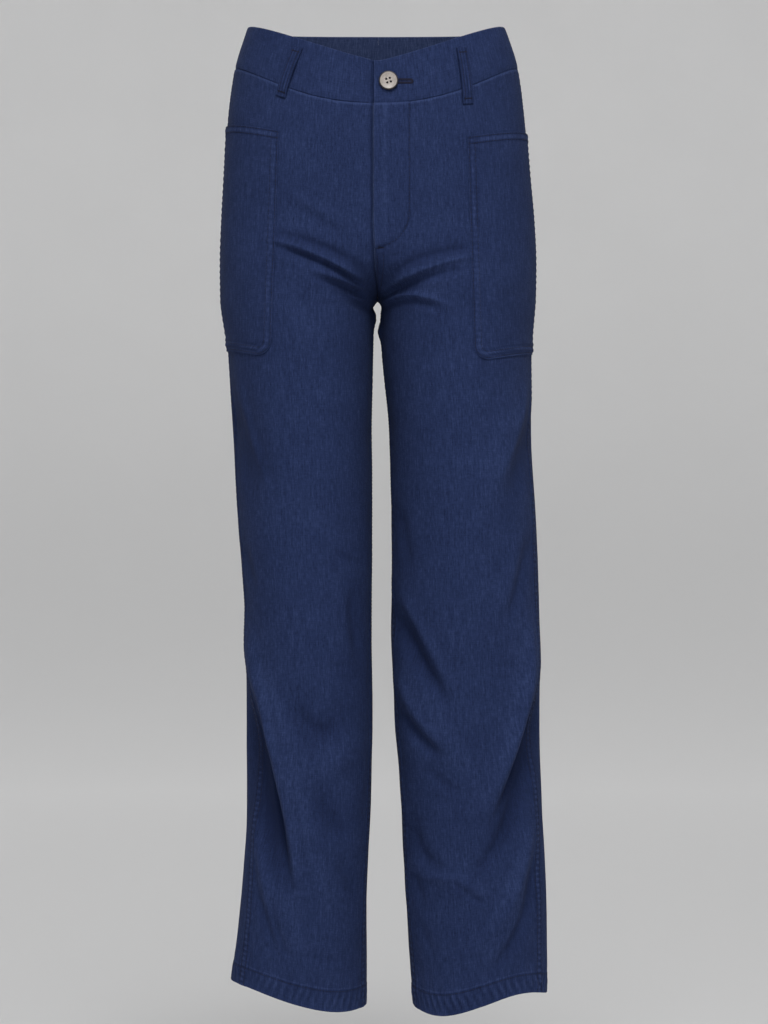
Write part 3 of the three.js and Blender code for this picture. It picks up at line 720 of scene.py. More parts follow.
# A stitch's rings: how far along its half length, and how thick
STITCH_RINGS = ((-1, 0.25), (-0.82, 0.8), (-0.4, 1), (0.4, 1), (0.82, 0.8), (1, 0.25))
STITCH_SIDES = 6


def stitch_mesh(centres, directions, normals, length=STITCH, radius=THREAD_RADIUS):
    """Short plump threads, one at each centre, whose ends dip into the cloth."""
    sides = np.cross(directions, normals)
    turn = 2 * np.pi * np.arange(STITCH_SIDES) / STITCH_SIDES
    vertices = []
    for along, thick in STITCH_RINGS:
        lift = radius * (0.55 - 0.75 * along ** 4)
        ring = (centres + directions * along * length / 2 + normals * lift)[:, None, :]
        ring = ring + thick * radius * (np.cos(turn)[None, :, None] * sides[:, None, :]
                                        + np.sin(turn)[None, :, None] * normals[:, None, :])
        vertices.append(ring)
    vertices = np.stack(vertices, axis=1)
    per_stitch = len(STITCH_RINGS) * STITCH_SIDES
    index = np.arange(per_stitch).reshape(len(STITCH_RINGS), STITCH_SIDES)
    following = np.roll(index, -1, axis=1)
    tube = np.stack([index[:-1], index[1:], following[1:], following[:-1]], axis=-1).reshape(-1, 4)
    starts = per_stitch * np.arange(len(centres))
    quads = (starts[:, None, None] + tube[None]).reshape(-1, 4).tolist()
    ends = [list(index[0]), list(index[-1][::-1])]
    caps = [[int(start + corner) for corner in end] for start in starts for end in ends]
    return vertices.reshape(-1, 3), quads + caps


class Sewing:
    """Rows of stitches gathered into one joined mesh."""

    def __init__(self, name):
        self.name = name
        self.vertices = []
        self.faces = []
        self.count = 0

    def add(self, vertices, faces):
        self.vertices.append(vertices)
        self.faces += [[corner + self.count for corner in face] for face in faces]
        self.count += len(vertices)

    def row(self, points, normals, pitch=STITCH_PITCH):
        self.add(*stitch_mesh(*resample(points, normals, pitch)))

    def bar(self, start, end, normal, width=2.0, pitch=0.55):
        """A bar tack: close stitches across a short line."""
        line = end - start
        length = np.linalg.norm(line)
        count = max(int(length / pitch), 2)
        centres = start + np.linspace(0, 1, count)[:, None] * line
        normals = np.broadcast_to(normal, centres.shape)
        across = np.cross(normals, line / length)
        across = across / np.linalg.norm(across, axis=1, keepdims=True)
        self.add(*stitch_mesh(centres, across, normals, width, THREAD_RADIUS * 0.95))

    def finish(self):
        piece = new_piece(self.name, np.concatenate(self.vertices), self.faces, [thread], sharp=80)
        return piece


def line_down(places, normals, measure, wanted):
    """The line down a grid where a measure, which grows or shrinks across it, has the wanted value."""
    columns = np.arange(measure.shape[1], dtype=float)
    points, ups = [], []
    for row, target in enumerate(np.broadcast_to(wanted, measure.shape[:1])):
        values = measure[row]
        order = slice(None) if values[-1] > values[0] else slice(None, None, -1)
        at = np.interp(target, values[order], columns[order])
        low = min(int(at), len(columns) - 2)
        share = at - low
        points.append(places[row, low] * (1 - share) + places[row, low + 1] * share)
        ups.append(normals[row, low] * (1 - share) + normals[row, low + 1] * share)
    return np.array(points), np.array(ups)


def line_across(places, normals, levels, wanted):
    """The line across a grid at the wanted level."""
    at = np.interp(-wanted, -levels, np.arange(len(levels), dtype=float))
    low = min(int(at), len(levels) - 2)
    share = at - low
    return (places[low] * (1 - share) + places[low + 1] * share,
            normals[low] * (1 - share) + normals[low + 1] * share)


def drop(tree, x, z):
    """Where lines that run from the front to the back meet a mesh, and its outward normals there."""
    points, normals = [], []
    for px, pz in zip(x, z):
        hit, normal, _, _ = tree.ray_cast(Vector((px, RAY_START, pz)), Vector((0, 1, 0)))
        if hit is not None:
            points.append(hit)
            normals.append(normal if normal.y < 0 else -normal)
    return np.array(points), np.array(normals)


# Materials

class Nodes:
    """Builds a material's node tree."""

    def __init__(self, name):
        self.material = bpy.data.materials.new(name)
        self.material.use_nodes = True
        self.tree = self.material.node_tree
        self.shader = self.tree.nodes["Principled BSDF"]

    def node(self, kind, inputs=None, **settings):
        node = self.tree.nodes.new(kind)
        for key, value in settings.items():
            setattr(node, key, value)
        for key, value in (inputs or {}).items():
            if isinstance(value, bpy.types.NodeSocket):
                self.tree.links.new(value, node.inputs[key])
            else:
                node.inputs[key].default_value = value
        return node

    def math(self, operation, a, b=0.0, c=0.0, clamp=False):
        inputs = {0: a, 1: b, 2: c}
        return self.node("ShaderNodeMath", inputs, operation=operation, use_clamp=clamp).outputs[0]

    def noise(self, vector, scale, detail=2.0, roughness=0.5):
        inputs = {"Vector": vector, "Scale": scale, "Detail": detail, "Roughness": roughness}
        return self.node("ShaderNodeTexNoise", inputs).outputs["Fac"]

    def stretched(self, vector, scale):
        return self.node("ShaderNodeMapping", {"Vector": vector, "Scale": scale}).outputs["Vector"]

    def place(self):
        return self.node("ShaderNodeTexCoord").outputs["Object"]

    def set(self, **values):
        """Sets the shader's own inputs, whose names are given with _ for each space."""
        for name, value in values.items():
            self.shader.inputs[name.replace("_", " ")].default_value = value

    def ramp(self, value, stops):
        node = self.node("ShaderNodeValToRGB", {"Fac": value})
        elements = node.color_ramp.elements
        for element, (place, colour) in zip(elements, (stops[0], stops[-1])):
            element.position, element.color = place, (*colour, 1)
        for place, colour in stops[1:-1]:
            elements.new(place).color = (*colour, 1)
        return node.outputs["Color"]

    def mix(self, factor, a, b, blend="MIX"):
        node = self.tree.nodes.new("ShaderNodeMix")
        node.data_type = "RGBA"
        node.blend_type = blend
        for key, value in ((0, factor), (6, a), (7, b)):
            if isinstance(value, bpy.types.NodeSocket):
                self.tree.links.new(value, node.inputs[key])
            else:
                node.inputs[key].default_value = value
        return node.outputs[2]

    def bump(self, height, strength, distance):
        inputs = {"Height": height, "Strength": strength, "Distance": distance}
        return self.node("ShaderNodeBump", inputs).outputs["Normal"]

    def link(self, socket, name):
        self.tree.links.new(socket, self.shader.inputs[name])


YARN_PITCH = 0.00075


def denim_material(name, dark, mid, light):
    """Plain-woven slub denim: warp streaks, fainter weft ones, and threads that pass over and under."""
    n = Nodes(name)
    cloth = n.node("ShaderNodeUVMap", uv_map="cloth").outputs["UV"]
    warp = n.noise(n.stretched(cloth, (1000, 150, 1)), 1.0, 3, 0.7)
    slub = n.noise(n.stretched(cloth, (560, 38, 1)), 1.0, 2, 0.6)
    weft = n.noise(n.stretched(cloth, (140, 860, 1)), 1.0, 3, 0.65)
    mottle = n.noise(n.place(), 24.0, 3, 0.6)
    streaks = n.math("MULTIPLY", warp, 0.42)
    streaks = n.math("MULTIPLY_ADD", slub, 0.26, streaks)
    streaks = n.math("MULTIPLY_ADD", weft, 0.22, streaks)
    streaks = n.math("MULTIPLY_ADD", mottle, 0.1, streaks)
    # The attribute shifts the colour: fading and unfaded lines, with painted shade in hollows, grooves and
    # beside lapped edges, and painted highlight on crests and along the panels' top edges
    worn_and_shaded = n.node("ShaderNodeAttribute", attribute_name="wear").outputs["Fac"]
    broken = n.math("MULTIPLY", worn_and_shaded, n.math("ADD", warp, 0.5))
    shade = n.math("MULTIPLY_ADD", broken, 0.16, streaks, clamp=True)
    colour = n.ramp(shade, ((0.36, dark), (0.5, mid), (0.64, light)))

    yarns = n.stretched(cloth, (1 / YARN_PITCH, 1 / YARN_PITCH, 1))
    squares = {"Vector": yarns, "Scale": 1.0, "Color1": (1, 1, 1, 1), "Color2": (0, 0, 0, 1)}
    check = n.node("ShaderNodeTexChecker", squares).outputs["Fac"]
    bands = {"Vector": yarns, "Scale": 0.5, "Distortion": 0.0}
    across = n.node("ShaderNodeTexWave", bands, wave_type="BANDS", bands_direction="X").outputs["Fac"]
    down = n.node("ShaderNodeTexWave", bands, wave_type="BANDS", bands_direction="Y").outputs["Fac"]
    unchecked = n.math("SUBTRACT", 1.0, check)
    over = n.math("ADD", n.math("MULTIPLY", across, check), n.math("MULTIPLY", down, unchecked))
    tinted = n.mix(n.math("MULTIPLY", check, 0.22), colour, (*light, 1))
    n.link(tinted, "Base Color")
    relief = n.math("ADD", n.math("MULTIPLY", over, 0.35), n.math("MULTIPLY", streaks, 1.3))
    n.link(n.bump(relief, 0.35, 0.0006), "Normal")
    n.link(n.math("MULTIPLY_ADD", streaks, 0.12, 0.82), "Roughness")
    n.set(Specular_IOR_Level=0.07, Sheen_Weight=0.02, Sheen_Roughness=0.6, Sheen_Tint=(0.45, 0.55, 0.85, 1))
    return n.material


def thread_material():
    n = Nodes("thread")
    place = n.place()
    twist = n.noise(n.stretched(place, (2600, 2600, 1500)), 1.0, 1, 0.5)
    fade = n.noise(place, 30.0, 2, 0.5)
    shade = n.math("ADD", n.math("MULTIPLY", twist, 0.6), n.math("MULTIPLY", fade, 0.4))
    n.link(n.ramp(shade, ((0.3, (0.004, 0.005, 0.018)), (0.7, (0.012, 0.013, 0.036)))), "Base Color")
    n.link(n.bump(twist, 0.3, 0.0002), "Normal")
    n.set(Roughness=0.75, Specular_IOR_Level=0.25)
    return n.material


def button_material():
    """Satin grey resin with a faint cloudy grain and a dark turned edge."""
    n = Nodes("button_resin")
    place = n.place()
    cloud = n.noise(place, 260.0, 4, 0.6)
    grain = n.noise(n.stretched(place, (1800, 1800, 500)), 1.0, 2, 0.5)
    rim = n.node("ShaderNodeAttribute", attribute_name="rim").outputs["Fac"]
    shade = n.math("ADD", n.math("MULTIPLY", cloud, 0.7), n.math("MULTIPLY", grain, 0.3))
    face = n.ramp(shade, (
        (0.3, (0.26, 0.235, 0.215)),
        (0.52, (0.375, 0.335, 0.305)),
        (0.75, (0.47, 0.42, 0.385)),
    ))
    n.link(n.mix(rim, face, (0.025, 0.021, 0.022, 1)), "Base Color")
    n.link(n.bump(cloud, 0.15, 0.0003), "Normal")
    n.set(Roughness=0.38, Specular_IOR_Level=0.45)
    return n.material


denim = denim_material(
    "denim", dark=(0.007, 0.0125, 0.042), mid=(0.0155, 0.0265, 0.08), light=(0.034, 0.054, 0.142))
denim_inside = denim_material(
    "denim_inside", dark=(0.012, 0.02, 0.055), mid=(0.026, 0.04, 0.1), light=(0.055, 0.078, 0.165))
thread = thread_material()
resin = button_material()


# Panels

# How far from its seams a panel's columns lie, and from the fly's edge on the fronts
SEAM_STEPS = np.array([0, 0.35, 1, 1.9, 3.2, 4.6, 6.0, 7.4, 8.4, 9.2, 10.1, 11.2, 12.6, 14.4])
FLY_STEPS = np.concatenate([SEAM_STEPS, [
    16, 18.2, 20.4, 22.6, 24.8, 27, 29, 31, 32.6, 34, 35.2, 36.4, 37.6, 39, 40.8, 43,
]])
# How many even steps lie between them
FRONT_MIDDLE = 82
BACK_MIDDLE = 76


def spread(inner, outer, middle):
    """Distances across a piece: the given ones from each edge, and even steps between them."""
    def places(width):
        between = np.linspace(inner[-1], width - outer[-1], middle + 1)[1:-1]
        return np.concatenate([inner, between, width - outer[::-1]])
    return places


def steps_down(stretches):
    """Levels from stretches of from, to and how many steps."""
    levels = [stretches[0][0]]
    for start, end, count in stretches:
        levels.extend(np.linspace(start, end, count + 1)[1:])
    return np.array(levels)


PANEL_LEVELS = steps_down([
    (PANEL_TOP, PANEL_TOP - 2, 4),
    (PANEL_TOP - 2, -172, 88),
    (-172, -300, 86),
    (-300, HEM + HEM_DEPTH + 2, 330),
    (HEM + HEM_DEPTH + 2, HEM + 2, 16),
    (HEM + 2, HEM, 6),
])


def unfaded_and_shaded_rows(distance, rows):
    """How deep each place lies in the dark lines along rows of stitches: tight, unfaded cloth, and painted
    shade of the grooves the stitches pull in.
    """
    return sum(bell(distance - row, 1.0) for row in rows)


def seam_wear_and_shade(patch):
    """Rungs painted lighter on the puckers' ridges as fading and darker in their hollows as painted shade,
    a light middle, and rows of stitches painted dark as unfaded cloth and painted groove shade, along a
    front panel's felled seams.
    """
    seed = patch.side.seam_seed
    legs = patch.level < CROTCH
    worn_and_shaded = 0
    for distance, where, number in ((patch.to_seam, 1, seed), (patch.from_edge, legs, seed + 2)):
        # A light middle as fading; rungs lighter on the puckers' ridges as fading and darker in their
        # hollows as painted shade; the rows of stitches darker as unfaded cloth and painted groove shade
        band = 0.2 * bell(distance - FELL_MIDDLE, 2.6) + 0.95 * rungs(distance, patch.level, number)
        worn_and_shaded = worn_and_shaded + where * (band - 0.45 * unfaded_and_shaded_rows(distance, FELL_ROWS))
    return worn_and_shaded


def fly_wear_and_shade(patch):
    """The fly's light folded edge, its row of stitches painted dark as unfaded cloth and painted groove
    shade, and the light ridge over the shield's edge.
    """
    z = patch.base[..., 2]
    upper = smooth(FLY_BOTTOM - 6, FLY_BOTTOM + 2, z)
    # A light folded edge as fading, and the row of stitches painted dark as unfaded cloth and painted
    # groove shade
    edges = 0.5 * bell(patch.from_edge, 1.0) - 0.45 * bell(fly_reach(z) - patch.from_edge, 0.9)
    return upper * edges + 0.3 * bell(patch.from_edge - 11, 2) * smooth(FLY_BOTTOM, -150, patch.level)


def edge_wear_and_shade(patch):
    """Fading on the high edges and a painted highlight along the panel's top edge; darker lines below zero
    along rows of stitches, as unfaded cloth and painted groove shade; the hem's puckers painted with light
    and shade; and a painted shadow beside the fly's edge on the right front.
    """
    height = patch.level - HEM
    worn_and_shaded = 0.4 * bell(height, 1.6) + 0.45 * bell(height - HEM_DEPTH - 0.4, 0.9)
    # Painted shade, with unfaded cloth, along the hem's row of stitches; the hem's puckers lighter on their
    # ridges as fading and darker in their hollows as painted shade
    worn_and_shaded = worn_and_shaded - 0.7 * bell(height - HEM_ROW, 0.9) + 0.6 * gathers(patch)
    # Painted highlight, with fading, along the panel's top edge below the waistband
    worn_and_shaded = worn_and_shaded + 0.9 * bell(PANEL_TOP - patch.level - 1.4, 1.1)
    if patch.face is FRONT:
        worn_and_shaded = worn_and_shaded + seam_wear_and_shade(patch)
        if patch.side is LEFT:
            worn_and_shaded = worn_and_shaded + fly_wear_and_shade(patch)
        else:
            # Painted shadow: a dark line on the right front beside the left front's lapped fly edge
            worn_and_shaded = worn_and_shaded - 1.1 * bell(patch.from_edge - 1, 2.8) * smooth(CROTCH, CROTCH + 30, patch.level)
    if patch.side is LEFT:
        # Painted shade, with unfaded cloth, along the rows of the felled centre seam
        worn_and_shaded = worn_and_shaded - 0.4 * centre_band(patch) * unfaded_and_shaded_rows(patch.from_edge, FELL_ROWS)
    return worn_and_shaded


def make_panel(side, face):
    """A front or back panel, with its folds and creases, its sewn edges and its hem."""
    inner_steps = FLY_STEPS if face is FRONT else SEAM_STEPS
    middle = FRONT_MIDDLE if face is FRONT else BACK_MIDDLE
    patch = cloth_patch(side, face, PANEL_LEVELS, spread(inner_steps, SEAM_STEPS, middle))
    creases = folds(patch)
    form = creases + slack(patch)
    relief = panel_relief(patch)
    thickness = CLOTH + (HEM_WALL - CLOTH) * smooth(HEM + HEM_DEPTH + 1, HEM + HEM_DEPTH - 1, patch.level)
    outer = patch.base + patch.normal * (form + relief)[..., None]
    inner = patch.base + patch.normal * (form - thickness)[..., None]
    across = side.sign * grain(patch) + MAP_START[face.name]
    # The folds paint their crests lighter, as fading and painted highlight up to a limit, and their hollows
    # darker as painted shade
    wear = np.clip(edge_wear_and_shade(patch) + np.minimum(CREASE_FADE_AND_SHADE * creases, CREST_FADE_AND_HIGHLIGHT), -1, 1)
    cloth_piece(f"{face.name}_{side.name}", outer, inner, across, patch.level + 0.0, wear, half=True)
    return SimpleNamespace(patch=patch, outer=outer)


panels = {(face.name, side.name): make_panel(side, face)
          for face in (FRONT, BACK) for side in (LEFT, RIGHT)}


def sew_down(sewing, panel, rows, measure, wanted):
    """A row of stitches down a panel, along the line where a measure has the wanted value."""
    sewing.row(*line_down(panel.outer[rows], panel.patch.normal[rows], measure[rows], wanted))


def panel_sewing():
    """The rows along the felled seams and hems, and the fly's curved row with a bar tack at its foot."""
    sewing = Sewing("stitching_panels")
    for (face, side), panel in panels.items():
        patch, outer, levels = panel.patch, panel.outer, PANEL_LEVELS
        stitched = (levels < PANEL_TOP - 2) & (levels > HEM + 1)
        legs = (levels < CROTCH - 10) & (levels > HEM + 1)
        for distance in FELL_ROWS:
            if face == "front":
                sew_down(sewing, panel, stitched, patch.to_seam, distance)
                sew_down(sewing, panel, legs, patch.from_edge, distance)
            if side == "left":
                top = FLY_BOTTOM - 8 if face == "front" else PANEL_TOP - 2
                centre = (levels < top) & (levels > CROTCH + 2)
                sew_down(sewing, panel, centre, patch.from_edge, distance)
        sewing.row(*line_across(outer[:, 2:-2], patch.normal[:, 2:-2], levels, HEM + HEM_DEPTH - 2))
    front = panels["front", "left"]
    patch, outer = front.patch, front.outer
    z = patch.base[..., 2]
    beside_edge = z[:, 10]
    rows = (beside_edge > FLY_BOTTOM) & (PANEL_LEVELS < PANEL_TOP - 1)
    sew_down(sewing, front, rows, patch.from_edge, fly_reach(beside_edge[rows]))
    tack = np.argmin(np.abs(z[:, 4] - FLY_BOTTOM + 1))
    sewing.bar(outer[tack, 2], outer[tack, 9], patch.normal[tack, 5])
    sewing.finish()


panel_sewing()


# Waistband

BAND_LEVELS = steps_down([(BAND_BOTTOM, BAND_BOTTOM + 1.5, 4), (BAND_BOTTOM + 1.5, BAND_TOP - 2, 26),
                          (BAND_TOP - 2, BAND_TOP, 6)])
# How far from the waistband's end in front its columns lie, and from a place without an edge
BAND_EDGE = np.array([0, 0.3, 0.8, 1.6, 2.8, 4.4, 6.5, 9, 11])
NO_EDGE = np.array([0, 1.0])
BAND_FIELDS = ("level", "base", "normal", "along", "shift")
# How far the right half goes on behind the left one
UNDERLAP = 32


def joined(first, second):
    """Two patches side by side as one."""
    return SimpleNamespace(**{name: np.concatenate([getattr(first, name), getattr(second, name)], axis=1)
                              for name in BAND_FIELDS})


def band_half(side):
    """One half of the waistband, from the fly's edge round the side to the centre back."""
    parts = []
    begun = 0
    for face, middle, steps in ((FRONT, 116, BAND_EDGE), (BACK, 110, SEAM_STEPS[:4])):
        patch = cloth_patch(side, face, BAND_LEVELS, spread(steps, NO_EDGE, middle))
        width = (patch.from_edge + patch.to_seam)[:, :1]
        share = patch.from_edge / width
        patch.along = width.mean() * share if face is FRONT else begun + width.mean() * (1 - share)
        begun = width.mean()
        patch.shift = 0 * patch.from_edge
        parts.append(patch)
    front, back = parts
    for name in BAND_FIELDS:
        setattr(front, name, getattr(front, name)[:, :-1])
        setattr(back, name, getattr(back, name)[:, ::-1])
    return joined(front, back)


def band_relief(patch, seed):
    """A doubled band: full between its edges, with a rolled top and a soft pucker along the seams."""
    height = patch.level - BAND_BOTTOM
    depth = BAND_TOP - BAND_BOTTOM
    roll = turned_edge(depth - height, 1.6, 1.1) + turned_edge(height, 0.7, 0.25)
    roll = roll - 0.55 * smooth(5, 0.6, height)
    wave = pucker(patch.along, 17, seed) * bell(height - 4, 7)
    wave = wave + pucker(patch.along, 12, seed + 1) * bell(depth - height - 8, 6)
    soft = ripple(patch.along / 38, height / 30, seed + 2)
    return BAND_PROUD + roll + 0.24 * wave + 0.35 * soft


def make_band(side, patch, seed, extra):
    """One half of the waistband as a piece. extra is what it stands out beyond the band's own relief."""
    relief = band_relief(patch, seed) + extra + patch.shift
    outer = patch.base + patch.normal * relief[..., None]
    depth = BAND_TOP - patch.level
    under = patch.shift - CLOTH - turned_edge(depth, 1.6, 0.9)
    inner = patch.base + patch.normal * under[..., None]
    # The band's folded top edge is light as fading, and its lower edge, which stands proud of the panel, is
    # darker as painted shade; the left half's folded end is light as fading, and the right half is darker
    # beside it as a painted shadow of the lapped end
    wear = 0.3 * bell(depth, 1.0) - 0.3 * bell(patch.level - BAND_BOTTOM, 1.0)
    wear = wear + (0.9 * bell(patch.along, 1.1) if side is LEFT else -0.8 * bell(patch.along, 2.5))
    across = side.sign * patch.along + MAP_START["band"]
    wear = np.clip(wear, -1, 1)
    piece = cloth_piece(f"waistband_{side.name}", outer, inner, across, patch.level + 0.0, wear)
    return SimpleNamespace(piece=piece, outer=outer)


def lapped(left, right):
    """The right half with its underlap, which goes on behind the left half."""
    last = int(np.searchsorted(left.along[0], UNDERLAP)) + 1
    under = SimpleNamespace(**{name: getattr(left, name)[:, :last][:, ::-1] for name in BAND_FIELDS})
    under.along = -under.along
    under.shift = under.shift - BAND_STEP
    right.shift = right.shift - BAND_STEP * smooth(6.5, 0.8, right.along)
    return joined(under, right)


band_left_patch = band_half(LEFT)
band_right_patch = lapped(band_left_patch, band_half(RIGHT))
lap_edge = 0.7 * smooth(20, 6, band_left_patch.along) + turned_edge(band_left_patch.along, 1.4, 1.0)
band_left = make_band(LEFT, band_left_patch, 71, lap_edge)
make_band(RIGHT, band_right_patch, 75, 0 * band_right_patch.along)


def cut_slot(piece):
    """Cuts the buttonhole, a slot with round ends, through the waistband's left half."""
    half = SLOT_HEIGHT / 2
    turn = np.linspace(-np.pi / 2, np.pi / 2, 9)
    ends = [(SLOT_ENDS[1] - half + half * np.cos(t), half * np.sin(t)) for t in turn]
    ends += [(SLOT_ENDS[0] + half - half * np.cos(t), -half * np.sin(t)) for t in turn]
    count = len(ends)
    vertices = np.array([(x, y, BUTTON_AT[1] + z) for y in (-140, -60) for x, z in ends])
    faces = [list(range(count))[::-1], list(range(count, 2 * count))]
    faces += [[i, (i + 1) % count, count + (i + 1) % count, count + i] for i in range(count)]
    mesh = bpy.data.meshes.new("slot_cutter")
    mesh.from_pydata((vertices * MM).tolist(), [], faces)
    carve(piece, [add_object("slot_cutter", mesh)])


cut_slot(band_left.piece)


def tree_of(grid):
    """A grid of places as a mesh that lines can be dropped on."""
    return BVHTree.FromPolygons(grid.reshape(-1, 3).tolist(), grid_quads(*grid.shape[:2]).tolist())


def band_sewing():
    """Close stitches round the buttonhole."""
    sewing = Sewing("stitching_buttonhole")
    tree = tree_of(band_left.outer)
    half = SLOT_HEIGHT / 2 + EYE_OUT
    straight = np.arange(SLOT_ENDS[0] + 1.2, SLOT_ENDS[1] - 1.2, EYE_PITCH)
    rows = [(x, side * half, 0, side) for side in (-1, 1) for x in straight]
    for turn in np.linspace(-np.pi / 2, np.pi / 2, 11):
        c, s = math.cos(turn), math.sin(turn)
        rows.append((SLOT_ENDS[1] - 1.2 + half * c, half * s, c, s))
    x = np.array([row[0] for row in rows])
    z = np.array([row[1] for row in rows]) + BUTTON_AT[1]
    points, normals = drop(tree, x, z)
    away = np.array([(row[2], 0, row[3]) for row in rows])
    away = away - np.einsum("ij,ij->i", away, normals)[:, None] * normals
    away /= np.linalg.norm(away, axis=1, keepdims=True)
    sewing.add(*stitch_mesh(points, away, normals, EYE_STITCH, EYE_RADIUS))
    sewing.finish()


band_sewing()


# Fly shield

def fly_shield():
    """The plain underlap behind the fly, on the inside of both fronts."""
    levels = np.linspace(PANEL_TOP, FLY_BOTTOM, 61)
    left = cloth_patch(LEFT, FRONT, levels, lambda width: np.linspace(0, 32, 17))
    right = cloth_patch(RIGHT, FRONT, levels, lambda width: np.linspace(1.5, 11, 6))
    for patch in (left, right):
        patch.out = folds(patch) + slack(patch)
    parts = {name: np.concatenate([getattr(left, name)[:, ::-1], getattr(right, name)], axis=1)
             for name in ("base", "normal", "out", "level")}
    outer = parts["base"] + parts["normal"] * (parts["out"] - CLOTH - SEAM)[..., None]
    inner = parts["base"] + parts["normal"] * (parts["out"] - 2 * CLOTH - SEAM)[..., None]
    across = np.concatenate([-left.from_edge[:, ::-1], right.from_edge], axis=1) + MAP_START["shield"]
    cloth_piece("fly_shield", outer, inner, across, parts["level"], 0 * across)


fly_shield()


# Patch pockets

def read_pocket(row):
    """A pocket's corners by name, with how steeply its top and bottom run."""
    pocket = SimpleNamespace(**dict(zip(POCKET_FIELDS, row)))
    pocket.top_slope = (pocket.top_side - pocket.top_inner) / (pocket.side_x - pocket.top_x)
    pocket.bottom_slope = (pocket.bottom_side - pocket.bottom_inner) / (pocket.side_x - pocket.bottom_x)
    return pocket


def pocket_outline(pocket):
    """Places down the pocket's inner edge and round its corner, and the slope of the row from each."""
    sign = pocket.side.sign
    corner_z = pocket.bottom_inner + POCKET_CORNER
    near_top = np.array([0, 0.4, 1.1, 2.0])
    down = np.concatenate([pocket.top_inner - near_top, np.linspace(pocket.top_inner - 3.2, corner_z, 132)])
    share = (pocket.top_inner - down) / (pocket.top_inner - corner_z)
    x = pocket.top_x + (pocket.bottom_x - pocket.top_x) * share
    turn = np.linspace(0, np.pi / 2, 20)[1:]
    corner_x = pocket.bottom_x + sign * POCKET_CORNER * (1 - np.cos(turn))
    corner = corner_z - POCKET_CORNER * np.sin(turn)
    x, z = np.concatenate([x, corner_x]), np.concatenate([down, corner])
    share = (pocket.top_inner - z) / (pocket.top_inner - z[-1])
    return x, z, pocket.top_slope + (pocket.bottom_slope - pocket.top_slope) * share


# How far each column of a pocket's grid lies from its inner edge, as a share of the way to the side seam
POCKET_SHARES = np.concatenate([
    [0, 0.012, 0.03, 0.055, 0.09, 0.125], np.linspace(0.16, 0.97, 42), [0.985, 0.996, 1.0],
])


def pocket_patch(pocket):
    """A pocket's grid on the cloth, with a row from each place of its outline to the side seam."""
    side = pocket.side
    start_x, start_z, slope = pocket_outline(pocket)
    first_level = start_z + 0.0
    for _ in range(POCKET_TRIES):
        ring = ring_at(side, first_level)
        first = angle_at(ring, side.sign * start_x)
        first_level = first_level + start_z - ring_point(side, ring, first)[..., 2]
    start = first[:, None] * (1 - POCKET_SHARES)
    level = np.broadcast_to(first_level[:, None], start.shape) + 0.0
    for _ in range(POCKET_TRIES):
        ring = ring_at(side, level)
        angle = start + POCKET_SHARES * (np.radians(section[side.seam](level)) + POCKET_PAST_SEAM)
        place = ring_point(side, ring, angle)
        wanted = start_z[:, None] + slope[:, None] * (place[..., 0] - start_x[:, None])
        level = level + wanted - place[..., 2]
    run = np.pad(np.cumsum(np.linalg.norm(np.diff(place, axis=1), axis=2), axis=1), ((0, 0), (1, 0)))
    to_seam = run[:, -1:] - run
    panel = panels["front", side.name].patch
    panel_width = np.interp(-level, -PANEL_LEVELS, (panel.from_edge + panel.to_seam)[:, 0])
    return SimpleNamespace(
        side=side, face=FRONT, level=level, base=place, normal=normal_at(side, ring, angle), run=run,
        to_seam=to_seam, from_edge=panel_width - to_seam)


def make_pocket(row):
    """A patch pocket that lies on the panel's folds, with a doubled edge and two sewn rows."""
    pocket = read_pocket(row)
    patch = pocket_patch(pocket)
    x, z = patch.base[..., 0], patch.base[..., 2]
    from_side = pocket_edge(pocket, patch.base, patch.run)
    from_top = np.abs(pocket.top_inner + (x - pocket.top_x) * pocket.top_slope - z)
    nearest = np.minimum(from_side, from_top)
    along = np.where(from_side < from_top, z, x)
    seam_rows = sum(bell(from_side - row, 0.85) + bell(from_top - row, 0.85) for row in POCKET_ROWS)
    doubled = 0.5 * smooth(POCKET_ROWS[1] + 2.2, POCKET_ROWS[1] + 0.4, nearest)
    ladder = pucker(along, LADDER, 91) * bell(nearest - 5, 3)
    beside = pucker(along, 2.2 * LADDER, 93) * bell(nearest - 15, 6)
    detail = doubled - 0.2 * seam_rows + 0.32 * ladder + 0.2 * beside + turned_edge(nearest, 1.1, 0.8)
    under = folds(patch) + slack(patch) + panel_relief(patch)
    outer = patch.base + patch.normal * (under + SEAM + POCKET_CLOTH + detail)[..., None]
    inner = patch.base + patch.normal * (under + SEAM)[..., None]
    # The edge and the cloth between the rows are light as fading; the ladder of puckers is lighter on their
    # ridges as fading and darker in their hollows as painted shade; the rows of stitches are darker as
    # unfaded cloth and painted groove shade
    wear = 0.4 * bell(nearest, 0.7) + 0.35 * bell(nearest - 5, 2.2) + 0.35 * ladder
    wear = wear - 0.55 * (unfaded_and_shaded_rows(from_side, POCKET_ROWS) + unfaded_and_shaded_rows(from_top, POCKET_ROWS))
    across = pocket.side.sign * patch.run + MAP_START["pocket"]
    cloth_piece(f"pocket_{pocket.side.name}", outer, inner, across, z, np.clip(wear, -1, 1))
    return SimpleNamespace(pocket=pocket, outer=outer)


def pocket_edge(pocket, place, run):
    """How far each place is from the pocket's inner edge, its rounded corner or its bottom."""
    sign = pocket.side.sign
    x, z = sign * place[..., 0], place[..., 2]
    bottom = z - pocket.bottom_inner - pocket.bottom_slope * (place[..., 0] - pocket.bottom_x)
    centre_x = sign * pocket.bottom_x + POCKET_CORNER
    centre_z = pocket.bottom_inner + POCKET_CORNER
    corner = POCKET_CORNER - np.hypot(np.minimum(x - centre_x, 0), np.minimum(z - centre_z, 0))
    in_corner = (x < centre_x) & (z < centre_z)
    straight = np.where(z < centre_z, bottom, np.minimum(run, bottom))
    return np.maximum(np.where(in_corner, corner, straight), 0)


